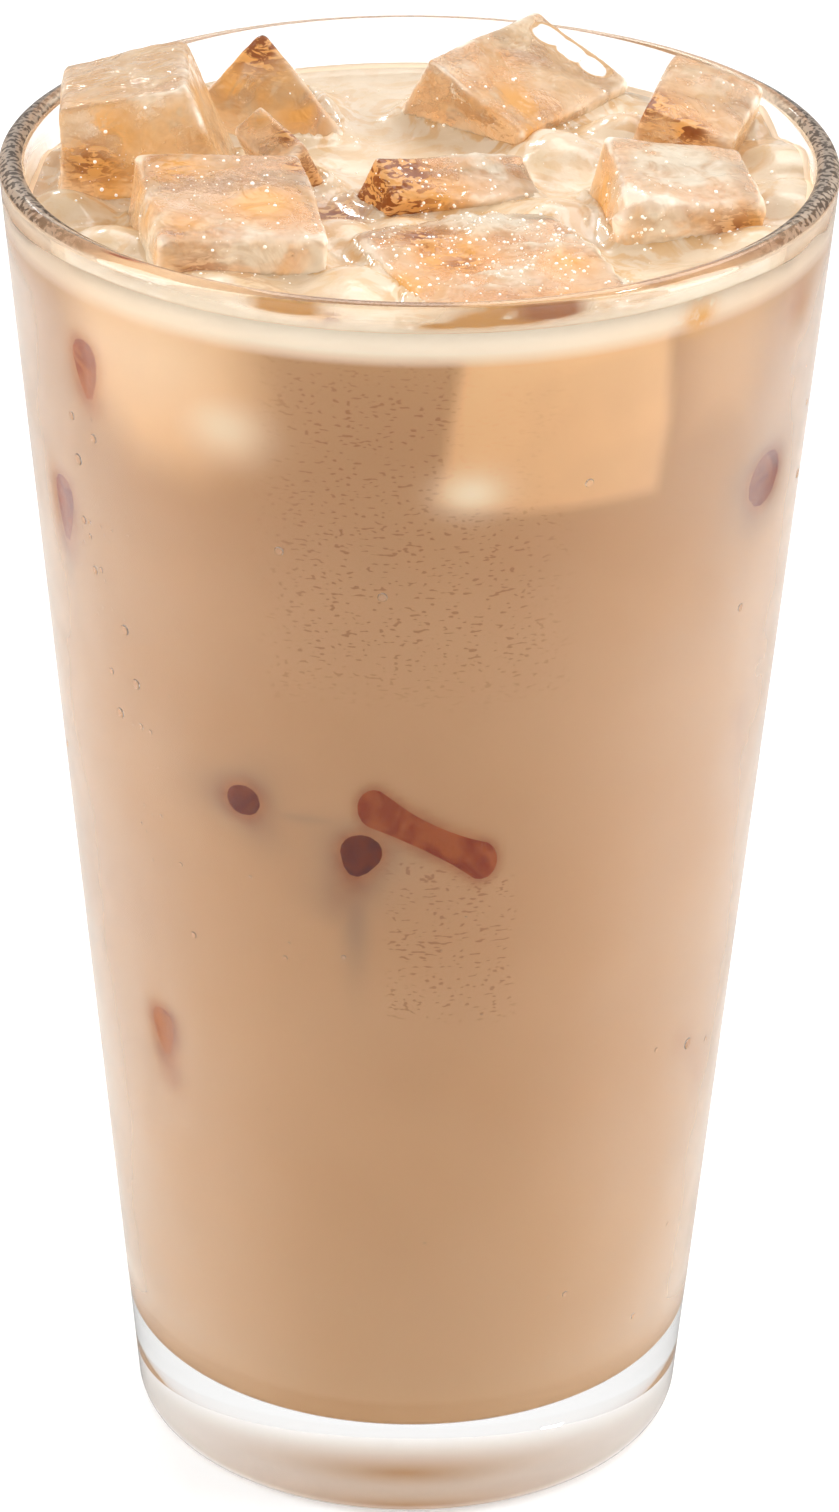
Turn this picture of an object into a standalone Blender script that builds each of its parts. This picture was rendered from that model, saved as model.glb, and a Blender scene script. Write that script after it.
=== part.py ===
"""Iced latte in a plain straight-sided glass.

Eleven pieces: the turned glass, the drink that fills it, and the nine ice
cubes that stand out of the drink. All sizes are in metres, +Z is up, and
the origin is the centre of the glass's base.
"""
import math

import bmesh
import bpy
from mathutils import Euler, Vector

MM = 0.001

# Glass: a straight cone, wider at the mouth
GLASS_HEIGHT = 152 * MM
MOUTH_RADIUS = 44.5 * MM
BASE_RADIUS = 31.25 * MM
WALL = 2.6 * MM
FLOOR_THICKNESS = 11.0 * MM
FLOOR_DISH = 0.6 * MM           # the inner floor is this much lower at its centre
FLOOR_CORNER = 4.5 * MM         # rounding between the floor and the inner wall
FOOT_CORNER = 2.0 * MM          # rounding at the outer edge of the base
PUNT_RADIUS = 21.0 * MM         # shallow hollow under the base
PUNT_DEPTH = 0.3 * MM
TURNED_STEPS = 64

# Drink
DRINK_LEVEL = 146.1 * MM
FIT_GAP = 0.3 * MM              # between pieces that touch

# Ice
ICE_EDGE = 1.0 * MM             # radius of a cube's melted edges
ICE_EDGE_SEGMENTS = 3

# Each cube: centre, turn about X, Y and Z, width x depth x height, and how
# much its top is wider (or narrower) than its middle along X and Y.
ICE_CUBES = {
    "ice_left": dict(
        centre_mm=(-29.7, 3.9, 150.3), turn_deg=(-2, -12, 3),
        size_mm=(17.8, 17.2, 17.8), flare=(-0.20, 0.06)),
    "ice_peak": dict(
        centre_mm=(-16.6, 23.3, 146.6), turn_deg=(-28, -41, 21),
        size_mm=(11.8, 15.8, 15.2), flare=(0.11, 0.00)),
    "ice_front_left": dict(
        centre_mm=(-20.3, -15.2, 141.3), turn_deg=(8, 3, 11),
        size_mm=(19.6, 20.4, 24.8), flare=(-0.06, -0.05)),
    "ice_middle": dict(
        centre_mm=(1.8, 0.3, 143.1), turn_deg=(25, 9, 27),
        size_mm=(19.4, 8.0, 16.0), flare=(-0.03, -0.06)),
    "ice_front": dict(
        centre_mm=(7.8, -21.9, 137.8), turn_deg=(2, 0, 22),
        size_mm=(22.6, 26.6, 21.4), flare=(0.01, -0.08)),
    "ice_back": dict(
        centre_mm=(9.2, 26.8, 145.4), turn_deg=(-2, 26, -34),
        size_mm=(16.6, 20.0, 15.8), flare=(-0.11, 0.18)),
    "ice_right": dict(
        centre_mm=(28.5, 12.7, 146.5), turn_deg=(8, 17, -14),
        size_mm=(12.0, 15.0, 17.4), flare=(-0.07, -0.03)),
    "ice_front_right": dict(
        centre_mm=(26.2, -5.5, 143.3), turn_deg=(8, 9, 11),
        size_mm=(16.4, 15.6, 19.4), flare=(-0.04, -0.06)),
    "ice_ridge": dict(
        centre_mm=(-13.8, 3.7, 147.5), turn_deg=(18, -33, 27),
        size_mm=(5.2, 9.6, 15.6), flare=(0.00, 0.00)),
}

# Colours, linear: red, green, blue
GLASS_COLOUR = (0.93, 0.95, 0.93)
DRINK_COLOUR = (0.50, 0.28, 0.15)
ICE_COLOUR = (0.78, 0.58, 0.38)


def outer_radius(z):
    """Radius of the glass's outer side at height z."""
    return BASE_RADIUS + (MOUTH_RADIUS - BASE_RADIUS) * z / GLASS_HEIGHT


def inner_radius(z):
    """Radius of the glass's inner side at height z."""
    return outer_radius(z) - WALL


def arc(centre_r, centre_z, radius, start_deg, end_deg, steps):
    """Points (r, z) on an arc, from the start angle to the end angle."""
    points = []
    for i in range(steps + 1):
        angle = math.radians(start_deg + (end_deg - start_deg) * i / steps)
        points.append((centre_r + radius * math.cos(angle), centre_z + radius * math.sin(angle)))
    return points


def floor_profile(raise_by, inset):
    """The inner floor from its centre to the inner wall, offset into the glass's hollow."""
    floor_z = FLOOR_THICKNESS + raise_by
    corner = FLOOR_CORNER - raise_by
    wall_r = inner_radius(floor_z + corner) - inset
    bend = arc(wall_r - corner, floor_z + corner, corner, -90, 0, 4)
    return [(0.0, floor_z - FLOOR_DISH)] + bend


def clear_objects():
    for obj in list(bpy.data.objects):
        bpy.data.objects.remove(obj, do_unlink=True)


def new_collection(name):
    collection = bpy.data.collections.new(name)
    bpy.context.scene.collection.children.link(collection)
    return collection


def principled(name, colour, roughness, transmission=0.0, ior=1.45):
    material = bpy.data.materials.new(name)
    material.use_nodes = True
    shader = material.node_tree.nodes["Principled BSDF"]
    shader.inputs["Base Color"].default_value = (*colour, 1.0)
    shader.inputs["Roughness"].default_value = roughness
    shader.inputs["Metallic"].default_value = 0.0
    shader.inputs["Transmission Weight"].default_value = transmission
    shader.inputs["IOR"].default_value = ior
    return material


def turned(name, profile, collection, material):
    """A solid of revolution from (r, z) points that run up the inside and down the outside."""
    shape = bmesh.new()
    verts = [shape.verts.new((r, 0.0, z)) for r, z in profile]
    for lower, upper in zip(verts, verts[1:]):
        shape.edges.new((lower, upper))
    mesh = bpy.data.meshes.new(name)
    shape.to_mesh(mesh)
    shape.free()
    obj = bpy.data.objects.new(name, mesh)
    collection.objects.link(obj)
    screw = obj.modifiers.new("Turn", "SCREW")
    screw.axis = "Z"
    screw.steps = TURNED_STEPS
    screw.render_steps = TURNED_STEPS
    screw.use_merge_vertices = True
    screw.merge_threshold = 0.00001
    screw.use_smooth_shade = True
    obj.data.materials.append(material)
    return obj


def make_glass(collection):
    lip_radius = WALL / 2
    lip_r = outer_radius(GLASS_HEIGHT) - lip_radius
    lip = arc(lip_r, GLASS_HEIGHT - lip_radius, lip_radius, 180, 0, 6)
    foot = arc(outer_radius(FOOT_CORNER) - FOOT_CORNER, FOOT_CORNER, FOOT_CORNER, 0, -90, 4)
    punt = [(PUNT_RADIUS, 0.0), (PUNT_RADIUS - 3 * PUNT_DEPTH, PUNT_DEPTH), (0.0, PUNT_DEPTH)]
    profile = floor_profile(0.0, 0.0) + lip + foot + punt
    material = principled("glass_clear", GLASS_COLOUR, 0.02, transmission=1.0, ior=1.52)
    return turned("glass", profile, collection, material)


def make_drink(collection):
    top_r = inner_radius(DRINK_LEVEL) - FIT_GAP
    profile = floor_profile(FIT_GAP, FIT_GAP)
    profile += [(top_r, DRINK_LEVEL), (0.0, DRINK_LEVEL)]
    material = principled("drink_milky_coffee", DRINK_COLOUR, 0.15)
    return turned("drink", profile, collection, material)


def ice_block(name, cube, grow, collection):
    """A cube with melted edges; grow makes it larger all round."""
    half = Vector(cube["size_mm"]) * MM / 2 + Vector((grow, grow, grow))
    shape = bmesh.new()
    bmesh.ops.create_cube(shape, size=2.0)
    for vert in shape.verts:
        side = vert.co.copy()
        flare_x = 1 + cube["flare"][0] * side.z
        flare_y = 1 + cube["flare"][1] * side.z
        vert.co = Vector((side.x * half.x * flare_x, side.y * half.y * flare_y, side.z * half.z))
    mesh = bpy.data.meshes.new(name)
    shape.to_mesh(mesh)
    shape.free()
    mesh.shade_smooth()
    obj = bpy.data.objects.new(name, mesh)
    collection.objects.link(obj)
    obj.location = Vector(cube["centre_mm"]) * MM
    obj.rotation_euler = Euler([math.radians(a) for a in cube["turn_deg"]], "XYZ")
    edge = obj.modifiers.new("Melted edges", "BEVEL")
    edge.width = ICE_EDGE + grow
    edge.segments = ICE_EDGE_SEGMENTS
    edge.limit_method = "NONE"
    return obj


def cut_round_ice(drink, cutters):
    for name, cube in ICE_CUBES.items():
        cutter = ice_block("hollow_for_" + name, cube, FIT_GAP, cutters)
        cutter.hide_render = True
        cutter.display_type = "WIRE"
        cut = drink.modifiers.new("Hollow for " + name, "BOOLEAN")
        cut.operation = "DIFFERENCE"
        cut.solver = "EXACT"
        cut.object = cutter


def main():
    clear_objects()
    latte = new_collection("iced_latte")
    cutters = new_collection("cutters")
    make_glass(latte)
    drink = make_drink(latte)
    for name, cube in ICE_CUBES.items():
        block = ice_block(name, cube, 0.0, latte)
        block.data.materials.append(principled("frozen_" + name, ICE_COLOUR, 0.08, transmission=0.6, ior=1.31))
    cut_round_ice(drink, cutters)


main()
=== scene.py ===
# %% [markdown]
# # An iced latte in a straight-sided glass
#
# Milky coffee fills a thick-bottomed tumbler almost to the rim, and nine pieces of
# ice stand out of it. More cubes are sunk in the drink: they show only where
# an edge or a corner presses against the wall, as a dark spot with a soft rim.
#
# The lesson goes from outside in: camera and light, the glass, the drink, the
# ice, and then the small things, such as bubbles, milk film and dew.

# %% Tools, units and the frame
import math

import bmesh
import bpy
import numpy as np
from mathutils import Matrix, Vector, noise
from mathutils.bvhtree import BVHTree


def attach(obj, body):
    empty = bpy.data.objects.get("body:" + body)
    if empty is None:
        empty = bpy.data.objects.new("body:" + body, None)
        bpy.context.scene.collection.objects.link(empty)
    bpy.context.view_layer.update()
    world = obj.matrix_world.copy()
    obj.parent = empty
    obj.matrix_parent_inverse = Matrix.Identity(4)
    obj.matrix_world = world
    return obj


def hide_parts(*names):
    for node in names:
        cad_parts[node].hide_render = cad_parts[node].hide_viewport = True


MM = 0.001
BODY = "root"

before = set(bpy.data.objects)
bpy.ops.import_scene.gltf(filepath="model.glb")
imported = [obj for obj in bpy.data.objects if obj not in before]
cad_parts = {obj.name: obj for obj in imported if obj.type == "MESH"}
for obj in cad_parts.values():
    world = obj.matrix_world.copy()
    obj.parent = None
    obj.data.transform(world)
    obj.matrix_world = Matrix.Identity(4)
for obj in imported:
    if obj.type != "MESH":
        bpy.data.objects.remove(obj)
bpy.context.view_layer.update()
ICE_NODES = sorted(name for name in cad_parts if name.startswith("ice_"))
print("frame:", len(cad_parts), "solids, of which ice cubes:", len(ICE_NODES))

# %% [markdown]
# ## Sizes, read from the frame
#
# The solids carry the true sizes, so nothing is typed in twice. A turned piece
# has its points in rings, and the radius of a ring near the foot and one at the
# lip give the straight line of a conical wall.

# %% Measure the glass and the drink
def read_all(items, name, kind, width=1):
    """One property of every point, edge, corner or face, as an array."""
    flat = np.empty(len(items) * width, kind)
    items.foreach_get(name, flat)
    return flat


def points_of(obj):
    """A mesh's points as rows of x, y and z."""
    return read_all(obj.data.vertices, "co", np.float32, 3).reshape(-1, 3).astype(float)


def ring_radius(points, height, pick):
    """The smallest or largest radius among the points nearest to a height."""
    off = np.abs(points[:, 2] - height)
    near = points[off < off.min() + 0.05 * MM]
    return float(pick(np.hypot(near[:, 0], near[:, 1])))


glass_points = points_of(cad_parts["glass"])
drink_points = points_of(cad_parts["drink"])
GLASS_HEIGHT = float(glass_points[:, 2].max())
LEVEL = float(drink_points[:, 2].max())
FIT_GAP = 0.3 * MM              # between the solids of the drink and the glass
FLOOR_CENTRE = float(drink_points[:, 2].min()) - FIT_GAP
FOOT_CORNER = 2.0 * MM
FLOOR_CORNER = 4.5 * MM
FLOOR_DISH = 0.6 * MM
PUNT_RADIUS = 21.0 * MM
PUNT_DEPTH = 0.3 * MM
LIP = 1.3 * MM

lip_height = GLASS_HEIGHT - LIP
floor_ring = FLOOR_CENTRE + FLOOR_DISH + FLOOR_CORNER
outer_foot = ring_radius(glass_points, FOOT_CORNER, np.max)
outer_lip = ring_radius(glass_points, lip_height, np.max)
inner_foot = ring_radius(glass_points, floor_ring, np.min)
inner_lip = ring_radius(glass_points, lip_height, np.min)


def outer_radius(z):
    """The glass's outer side at height z."""
    return outer_foot + (outer_lip - outer_foot) * (z - FOOT_CORNER) / (lip_height - FOOT_CORNER)


def inner_radius(z):
    """The glass's inner side at height z."""
    return inner_foot + (inner_lip - inner_foot) * (z - floor_ring) / (lip_height - floor_ring)


print(f"glass {GLASS_HEIGHT / MM:.1f} mm high, mouth {2 * outer_lip / MM:.1f} mm,",
      f"level {LEVEL / MM:.1f} mm")

# %% [markdown]
# ## Camera
#
# The photograph looks down on the glass at 26.5 degrees through a long lens.
# The numbers come from fitting a camera to the outline of the glass, in pixels
# of the 839 x 1512 picture.

# %% Camera
PICTURE_HEIGHT = 1512
FOCAL_PIXELS = 5649.2
VIEW_DISTANCE = 629.7 * MM
VIEW_ELEVATION = math.radians(26.515)
VIEW_ROLL = math.radians(0.658)
VIEW_TARGET = Vector((0.72, 0.0, 80.36)) * MM
SENSOR = 36.0

backward = Vector((0.0, -math.cos(VIEW_ELEVATION), math.sin(VIEW_ELEVATION)))
level_right = Vector((1.0, 0.0, 0.0))
level_up = backward.cross(level_right)
right = math.cos(VIEW_ROLL) * level_right + math.sin(VIEW_ROLL) * level_up
up = backward.cross(right)
camera_data = bpy.data.cameras.new("photo_view")
camera_data.sensor_width = SENSOR
camera_data.lens = SENSOR * FOCAL_PIXELS / PICTURE_HEIGHT
camera = bpy.data.objects.new("photo_view", camera_data)
bpy.context.scene.collection.objects.link(camera)
camera.matrix_world = Matrix.Translation(VIEW_TARGET + backward * VIEW_DISTANCE) @ Matrix(
    (right, up, backward)).transposed().to_4x4()
bpy.context.scene.camera = camera
print(f"camera lens {camera_data.lens:.1f} mm")

# %% [markdown]
# ## Nodes made easy
#
# Shader trees and geometry trees are both built with the same two helpers: one
# adds a node and sets its properties, the other does arithmetic on sockets or
# plain numbers.

# %% Node helpers
def add(tree, kind, **settings):
    """A new node, with its properties set."""
    node = tree.nodes.new(kind)
    for name, value in settings.items():
        setattr(node, name, value)
    return node


def feed(tree, socket, value):
    """Link a socket, or set a plain value, on an input. A colour may leave out its alpha."""
    if isinstance(value, bpy.types.NodeSocket):
        tree.links.new(value, socket)
    elif value is not None:
        opaque = socket.type == "RGBA" and len(value) == 3
        socket.default_value = (*value, 1.0) if opaque else value


def chain(tree, *nodes):
    """Link each node's first output to the next node's first input."""
    for node, following in zip(nodes, nodes[1:]):
        tree.links.new(node.outputs[0], following.inputs[0])


def give_sockets(tree, way, **kinds):
    """Named sockets of a tree, in order, such as Profile="Geometry"."""
    for name, kind in kinds.items():
        tree.interface.new_socket(
            name.replace("_", " "), in_out=way, socket_type="NodeSocket" + kind)


def arithmetic(tree, operation, first, second=None):
    """One Math node and its result."""
    node = add(tree, "ShaderNodeMath", operation=operation)
    feed(tree, node.inputs[0], first)
    feed(tree, node.inputs[1], second)
    return node.outputs[0]


def times(tree, first, second):
    """The product of two sockets or numbers."""
    return arithmetic(tree, "MULTIPLY", first, second)


def scaled(tree, value, by, plus):
    """A mask stretched or squeezed to another range: value * by + plus."""
    return arithmetic(tree, "ADD", times(tree, value, by), plus)


def larger(tree, first, *others):
    """The largest of two or more sockets or numbers."""
    for other in others:
        first = arithmetic(tree, "MAXIMUM", first, other)
    return first


def blend_colour(tree, factor, first, second):
    """A mix of two colours."""
    node = add(tree, "ShaderNodeMix", data_type="RGBA")
    feed(tree, node.inputs["Factor"], factor)
    feed(tree, node.inputs[6], first)
    feed(tree, node.inputs[7], second)
    return node.outputs[2]


def layered(tree, base, *layers):
    """Colours laid over a base one after another, each (mask, colour)."""
    for mask, tone in layers:
        base = blend_colour(tree, mask, base, tone)
    return base


def colour(red, green, blue):
    """A colour as shown on screen (0 to 255), made linear for a socket."""
    def linear(value):
        value /= 255
        return value / 12.92 if value <= 0.04045 else ((value + 0.055) / 1.055) ** 2.4
    return (linear(red), linear(green), linear(blue))


PLAIN_SOCKETS = {
    "roughness": "Roughness", "ior": "IOR", "specular": "Specular IOR Level",
    "transmission": "Transmission Weight", "emission": "Emission Strength",
}


def new_material(name, **plain):
    """A material, its tree and its Principled shader, with plain values set on the shader."""
    material = bpy.data.materials.new(name)
    material.use_nodes = True
    tree = material.node_tree
    shader = tree.nodes["Principled BSDF"]
    for setting, value in plain.items():
        shader.inputs[PLAIN_SOCKETS[setting]].default_value = value
    return material, tree, shader


# %% [markdown]
# ## Light, floor and background
#
# The photograph is a cut-out on white. A bright even sky and a nearly white
# floor give that, while the side towards the camera is kept darker, so that the
# glass doesn't veil the drink. Two tall soft boxes at the sides brighten the
# edges of the glass, and one from behind and above lights the ice.

# %% Floor, sky and soft boxes
def pale_floor():
    bpy.ops.mesh.primitive_plane_add(size=4.0, location=(0.0, 0.0, -0.05 * MM))
    floor = bpy.context.object
    floor.name = "pale_floor"
    material, tree, shader = new_material("floor_white", emission=1.0, roughness=0.9)
    path = add(tree, "ShaderNodeLightPath")
    through = path.outputs["Is Transmission Ray"]
    in_glass = arithmetic(tree, "SUBTRACT", path.outputs["Is Glossy Ray"], through)
    tone = blend_colour(tree, in_glass, (0.82, 0.82, 0.82), (0.25, 0.25, 0.25))
    tree.links.new(tone, shader.inputs["Base Color"])
    glow = blend_colour(tree, in_glass, (0.22, 0.22, 0.22), (0.02, 0.02, 0.02))
    tree.links.new(glow, shader.inputs["Emission Color"])
    floor.data.materials.append(material)


def soft_box(name, place, aim, width, height, watts):
    lamp = bpy.data.lights.new(name, "AREA")
    lamp.shape = "RECTANGLE"
    lamp.size = width
    lamp.size_y = height
    lamp.energy = watts
    obj = bpy.data.objects.new(name, lamp)
    bpy.context.scene.collection.objects.link(obj)
    obj.location = place
    obj.rotation_euler = (Vector(aim) - Vector(place)).to_track_quat("-Z", "Y").to_euler()


def bright_sky(front_strength, back_strength):
    world = bpy.data.worlds.new("white_studio")
    bpy.context.scene.world = world
    world.use_nodes = True
    tree = world.node_tree
    background = tree.nodes["Background"]
    place = add(tree, "ShaderNodeTexCoord")
    split = add(tree, "ShaderNodeSeparateXYZ")
    tree.links.new(place.outputs["Generated"], split.inputs[0])
    ramp = add(tree, "ShaderNodeMapRange")
    feed(tree, ramp.inputs["Value"], split.outputs["Y"])
    feed(tree, ramp.inputs["From Min"], -0.9)
    feed(tree, ramp.inputs["From Max"], 0.3)
    feed(tree, ramp.inputs["To Min"], front_strength)
    feed(tree, ramp.inputs["To Max"], back_strength)
    tree.links.new(ramp.outputs["Result"], background.inputs["Strength"])
    feed(tree, background.inputs["Color"], (1.0, 1.0, 1.0))


pale_floor()
bright_sky(front_strength=0.5, back_strength=1.0)
GLASS_MIDDLE = (0.0, 0.0, 0.5 * GLASS_HEIGHT)
soft_box("left_box", (-0.75, -0.15, 0.35), GLASS_MIDDLE, 0.35, 0.8, 4.0)
soft_box("right_box", (0.75, -0.15, 0.35), GLASS_MIDDLE, 0.35, 0.8, 4.0)
soft_box("top_box", (0.15, 0.55, 0.85), GLASS_MIDDLE, 0.6, 0.5, 2.7)
soft_box("sparkle_back", (-0.25, 0.60, 0.50), GLASS_MIDDLE, 0.05, 0.05, 0.6)
soft_box("sparkle_right", (0.35, 0.05, 0.75), GLASS_MIDDLE, 0.05, 0.05, 0.6)
bpy.context.scene.view_settings.view_transform = "Standard"

# %% [markdown]
# ## Shared finish: cloudy patches
#
# Ice, milk film, glass and drink all have soft patches. One shader group makes
# them: noise in the object's own coordinates, stretched if wanted, and pushed
# towards black and white between two levels. It puts out only a mask.

# %% Cloudy mask group
def cloudy_mask_group():
    tree = bpy.data.node_groups.new("Cloudy mask", "ShaderNodeTree")
    for name, kind, value in (
            ("Scale", "NodeSocketFloat", 100.0), ("Detail", "NodeSocketFloat", 3.0),
            ("Low", "NodeSocketFloat", 0.4), ("High", "NodeSocketFloat", 0.6),
            ("Swirl", "NodeSocketFloat", 0.0),
            ("Stretch", "NodeSocketVector", (1.0, 1.0, 1.0))):
        tree.interface.new_socket(name, in_out="INPUT", socket_type=kind).default_value = value
    tree.interface.new_socket("Mask", in_out="OUTPUT", socket_type="NodeSocketFloat")
    given = add(tree, "NodeGroupInput")
    place = add(tree, "ShaderNodeTexCoord")
    stretch = add(tree, "ShaderNodeVectorMath", operation="MULTIPLY")
    tree.links.new(place.outputs["Object"], stretch.inputs[0])
    tree.links.new(given.outputs["Stretch"], stretch.inputs[1])
    clouds = add(tree, "ShaderNodeTexNoise")
    tree.links.new(stretch.outputs[0], clouds.inputs["Vector"])
    tree.links.new(given.outputs["Scale"], clouds.inputs["Scale"])
    tree.links.new(given.outputs["Detail"], clouds.inputs["Detail"])
    tree.links.new(given.outputs["Swirl"], clouds.inputs["Distortion"])
    ramp = add(tree, "ShaderNodeMapRange", interpolation_type="SMOOTHSTEP")
    tree.links.new(clouds.outputs["Fac"], ramp.inputs["Value"])
    tree.links.new(given.outputs["Low"], ramp.inputs["From Min"])
    tree.links.new(given.outputs["High"], ramp.inputs["From Max"])
    result = add(tree, "NodeGroupOutput")
    tree.links.new(ramp.outputs["Result"], result.inputs["Mask"])
    return tree


CLOUDY = cloudy_mask_group()


def cloudy(tree, scale, low, high, detail=3.0, stretch=(1.0, 1.0, 1.0), swirl=0.0):
    """Place the shared group in a material and give its mask."""
    node = add(tree, "ShaderNodeGroup", node_tree=CLOUDY)
    settings = {"Scale": scale, "Detail": detail, "Low": low, "High": high,
                "Swirl": swirl, "Stretch": stretch}
    for name, value in settings.items():
        node.inputs[name].default_value = value
    return node.outputs["Mask"]


def roughen(tree, shader, height, distance, strength=1.0):
    """A Bump node from a height to the shader's normal."""
    bump = add(tree, "ShaderNodeBump")
    bump.inputs["Strength"].default_value = strength
    bump.inputs["Distance"].default_value = distance
    tree.links.new(height, bump.inputs["Height"])
    tree.links.new(bump.outputs["Normal"], shader.inputs["Normal"])


def attribute(tree, name):
    """A named number kept on the mesh's points."""
    return add(tree, "ShaderNodeAttribute", attribute_name=name).outputs["Fac"]


# %% [markdown]
# ## Turning a profile with Geometry Nodes
#
# A glass blower spins the piece, and so does this tree. Its input mesh is a
# profile of (radius, height) points. A grid gets one column for each step round
# the axis and one row for each profile point, and each grid point looks up its
# row's radius and height. Merging closes the seam and the poles.

# %% Tree: turn a profile
SEAM_GAP = 0.005 * MM           # points nearer than this are merged


def turning_tree():
    tree = bpy.data.node_groups.new("Turn a profile", "GeometryNodeTree")
    tree.is_modifier = True
    give_sockets(tree, "INPUT", Profile="Geometry", Steps="Int", Finish="Material")
    give_sockets(tree, "OUTPUT", Turned="Geometry")
    given = add(tree, "NodeGroupInput")
    size = add(tree, "GeometryNodeAttributeDomainSize", component="MESH")
    tree.links.new(given.outputs["Profile"], size.inputs[0])
    rows = size.outputs["Point Count"]
    grid = add(tree, "GeometryNodeMeshGrid")
    feed(tree, grid.inputs["Vertices X"], arithmetic(tree, "ADD", given.outputs["Steps"], 1.0))
    feed(tree, grid.inputs["Vertices Y"], rows)
    index = add(tree, "GeometryNodeInputIndex").outputs[0]
    middle = arithmetic(tree, "ADD", index, 0.5)
    column = arithmetic(tree, "FLOOR", arithmetic(tree, "DIVIDE", middle, rows))
    row = arithmetic(tree, "SUBTRACT", index, times(tree, column, rows))
    turn = times(tree, arithmetic(tree, "DIVIDE", column, given.outputs["Steps"]), 2 * math.pi)
    look_up = add(tree, "GeometryNodeSampleIndex", data_type="FLOAT_VECTOR", domain="POINT")
    tree.links.new(given.outputs["Profile"], look_up.inputs["Geometry"])
    tree.links.new(add(tree, "GeometryNodeInputPosition").outputs[0], look_up.inputs["Value"])
    tree.links.new(row, look_up.inputs["Index"])
    parts = add(tree, "ShaderNodeSeparateXYZ")
    tree.links.new(look_up.outputs["Value"], parts.inputs[0])
    where = add(tree, "ShaderNodeCombineXYZ")
    radius = parts.outputs["X"]
    feed(tree, where.inputs["X"], times(tree, radius, arithmetic(tree, "COSINE", turn)))
    feed(tree, where.inputs["Y"], times(tree, radius, arithmetic(tree, "SINE", turn)))
    feed(tree, where.inputs["Z"], parts.outputs["Z"])
    place = add(tree, "GeometryNodeSetPosition")
    tree.links.new(grid.outputs["Mesh"], place.inputs["Geometry"])
    tree.links.new(where.outputs[0], place.inputs["Position"])
    merge = add(tree, "GeometryNodeMergeByDistance")
    merge.inputs["Distance"].default_value = SEAM_GAP
    smooth = add(tree, "GeometryNodeSetShadeSmooth")
    realize = add(tree, "GeometryNodeRealizeInstances")
    finish = add(tree, "GeometryNodeSetMaterial")
    tree.links.new(given.outputs["Finish"], finish.inputs["Material"])
    chain(tree, place, merge, smooth, realize, finish, add(tree, "NodeGroupOutput"))
    return tree


def set_inputs(modifier, **values):
    """Set a tree's named inputs on its modifier, by the sockets' identifiers."""
    for item in modifier.node_group.interface.items_tree:
        name = item.name.replace(" ", "_")
        if item.in_out == "INPUT" and name in values:
            modifier[item.identifier] = values[name]


def new_object(name, mesh):
    obj = bpy.data.objects.new(name, mesh)
    bpy.context.scene.collection.objects.link(obj)
    return obj


def settle(obj):
    """Make what the modifiers show the object's own plain mesh."""
    depsgraph = bpy.context.evaluated_depsgraph_get()
    mesh = bpy.data.meshes.new_from_object(obj.evaluated_get(depsgraph))
    obj.modifiers.clear()
    old = obj.data
    obj.data = mesh
    bpy.data.meshes.remove(old)


def face_outwards(obj):
    """Point every face of a closed mesh outwards."""
    shape = bmesh.new()
    shape.from_mesh(obj.data)
    bmesh.ops.recalc_face_normals(shape, faces=shape.faces)
    shape.to_mesh(obj.data)
    shape.free()


TURNING = turning_tree()
GLASS_STEPS = 192               # faces round the glass, the mist and the dew
DRINK_STEPS = 320               # and round the drink and the films on the rim


def turned(name, profile, steps, material):
    """A solid of revolution from (r, z) points."""
    mesh = bpy.data.meshes.new(name)
    edges = [(i, i + 1) for i in range(len(profile) - 1)]
    mesh.from_pydata([(r, 0.0, z) for r, z in profile], edges, [])
    obj = new_object(name, mesh)
    turn = obj.modifiers.new("Turn", "NODES")
    turn.node_group = TURNING
    set_inputs(turn, Steps=steps)
    if material:
        set_inputs(turn, Finish=material)
    settle(obj)
    face_outwards(obj)
    print(name, "has", len(obj.data.polygons), "faces")
    return obj


def arc(centre_r, centre_z, radius, start_deg, end_deg, steps):
    """Points (r, z) on an arc."""
    angles = [math.radians(start_deg + (end_deg - start_deg) * i / steps) for i in range(steps + 1)]
    return [(centre_r + radius * math.cos(a), centre_z + radius * math.sin(a)) for a in angles]


# %% [markdown]
# ## The glass
#
# Pressed soda glass is clear with a trace of green, smooth, and a little uneven
# where it cooled. The wall's real thickness matters: it bends the view of the
# drink, and the rounded lip and the thick base gather bright and dark lines.

# %% Glass
def glass_finish():
    material, tree, shader = new_material("clear_glass", transmission=1.0, ior=1.5)
    unevenness = cloudy(tree, 40.0, 0.3, 0.7)
    tint = blend_colour(tree, unevenness, (0.985, 0.99, 0.985), (0.995, 0.995, 0.99))
    tree.links.new(tint, shader.inputs["Base Color"])
    wipe = cloudy(tree, 130.0, 0.45, 0.75, stretch=(1.0, 1.0, 0.3))
    feed(tree, shader.inputs["Roughness"], times(tree, wipe, 0.02))
    roughen(tree, shader, cloudy(tree, 28.0, 0.2, 0.8, detail=1.0), 0.06 * MM)
    return material


def make_glass():
    lip_r = outer_lip - LIP
    floor_z = FLOOR_CENTRE + FLOOR_DISH
    profile = [(0.0, FLOOR_CENTRE)]
    profile += arc(inner_foot - FLOOR_CORNER, floor_z + FLOOR_CORNER, FLOOR_CORNER, -90, 0, 8)
    profile += arc(lip_r, lip_height, LIP, 180, 0, 14)
    profile += arc(outer_radius(FOOT_CORNER) - FOOT_CORNER, FOOT_CORNER, FOOT_CORNER, 0, -90, 8)
    profile += [(PUNT_RADIUS, 0.0), (PUNT_RADIUS - 3 * PUNT_DEPTH, PUNT_DEPTH), (0.0, PUNT_DEPTH)]
    return turned("tumbler", profile, GLASS_STEPS, glass_finish())


tumbler = make_glass()
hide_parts("glass")
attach(tumbler, BODY)

# %% [markdown]
# ## Ice above the drink
#
# Each cube starts as a copy of its solid, welded, rebuilt with small even faces
# and smoothed, as melting does. Noise then sinks shallow dents into it. It only
# ever goes inwards, so the cube stays inside its solid.

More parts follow.
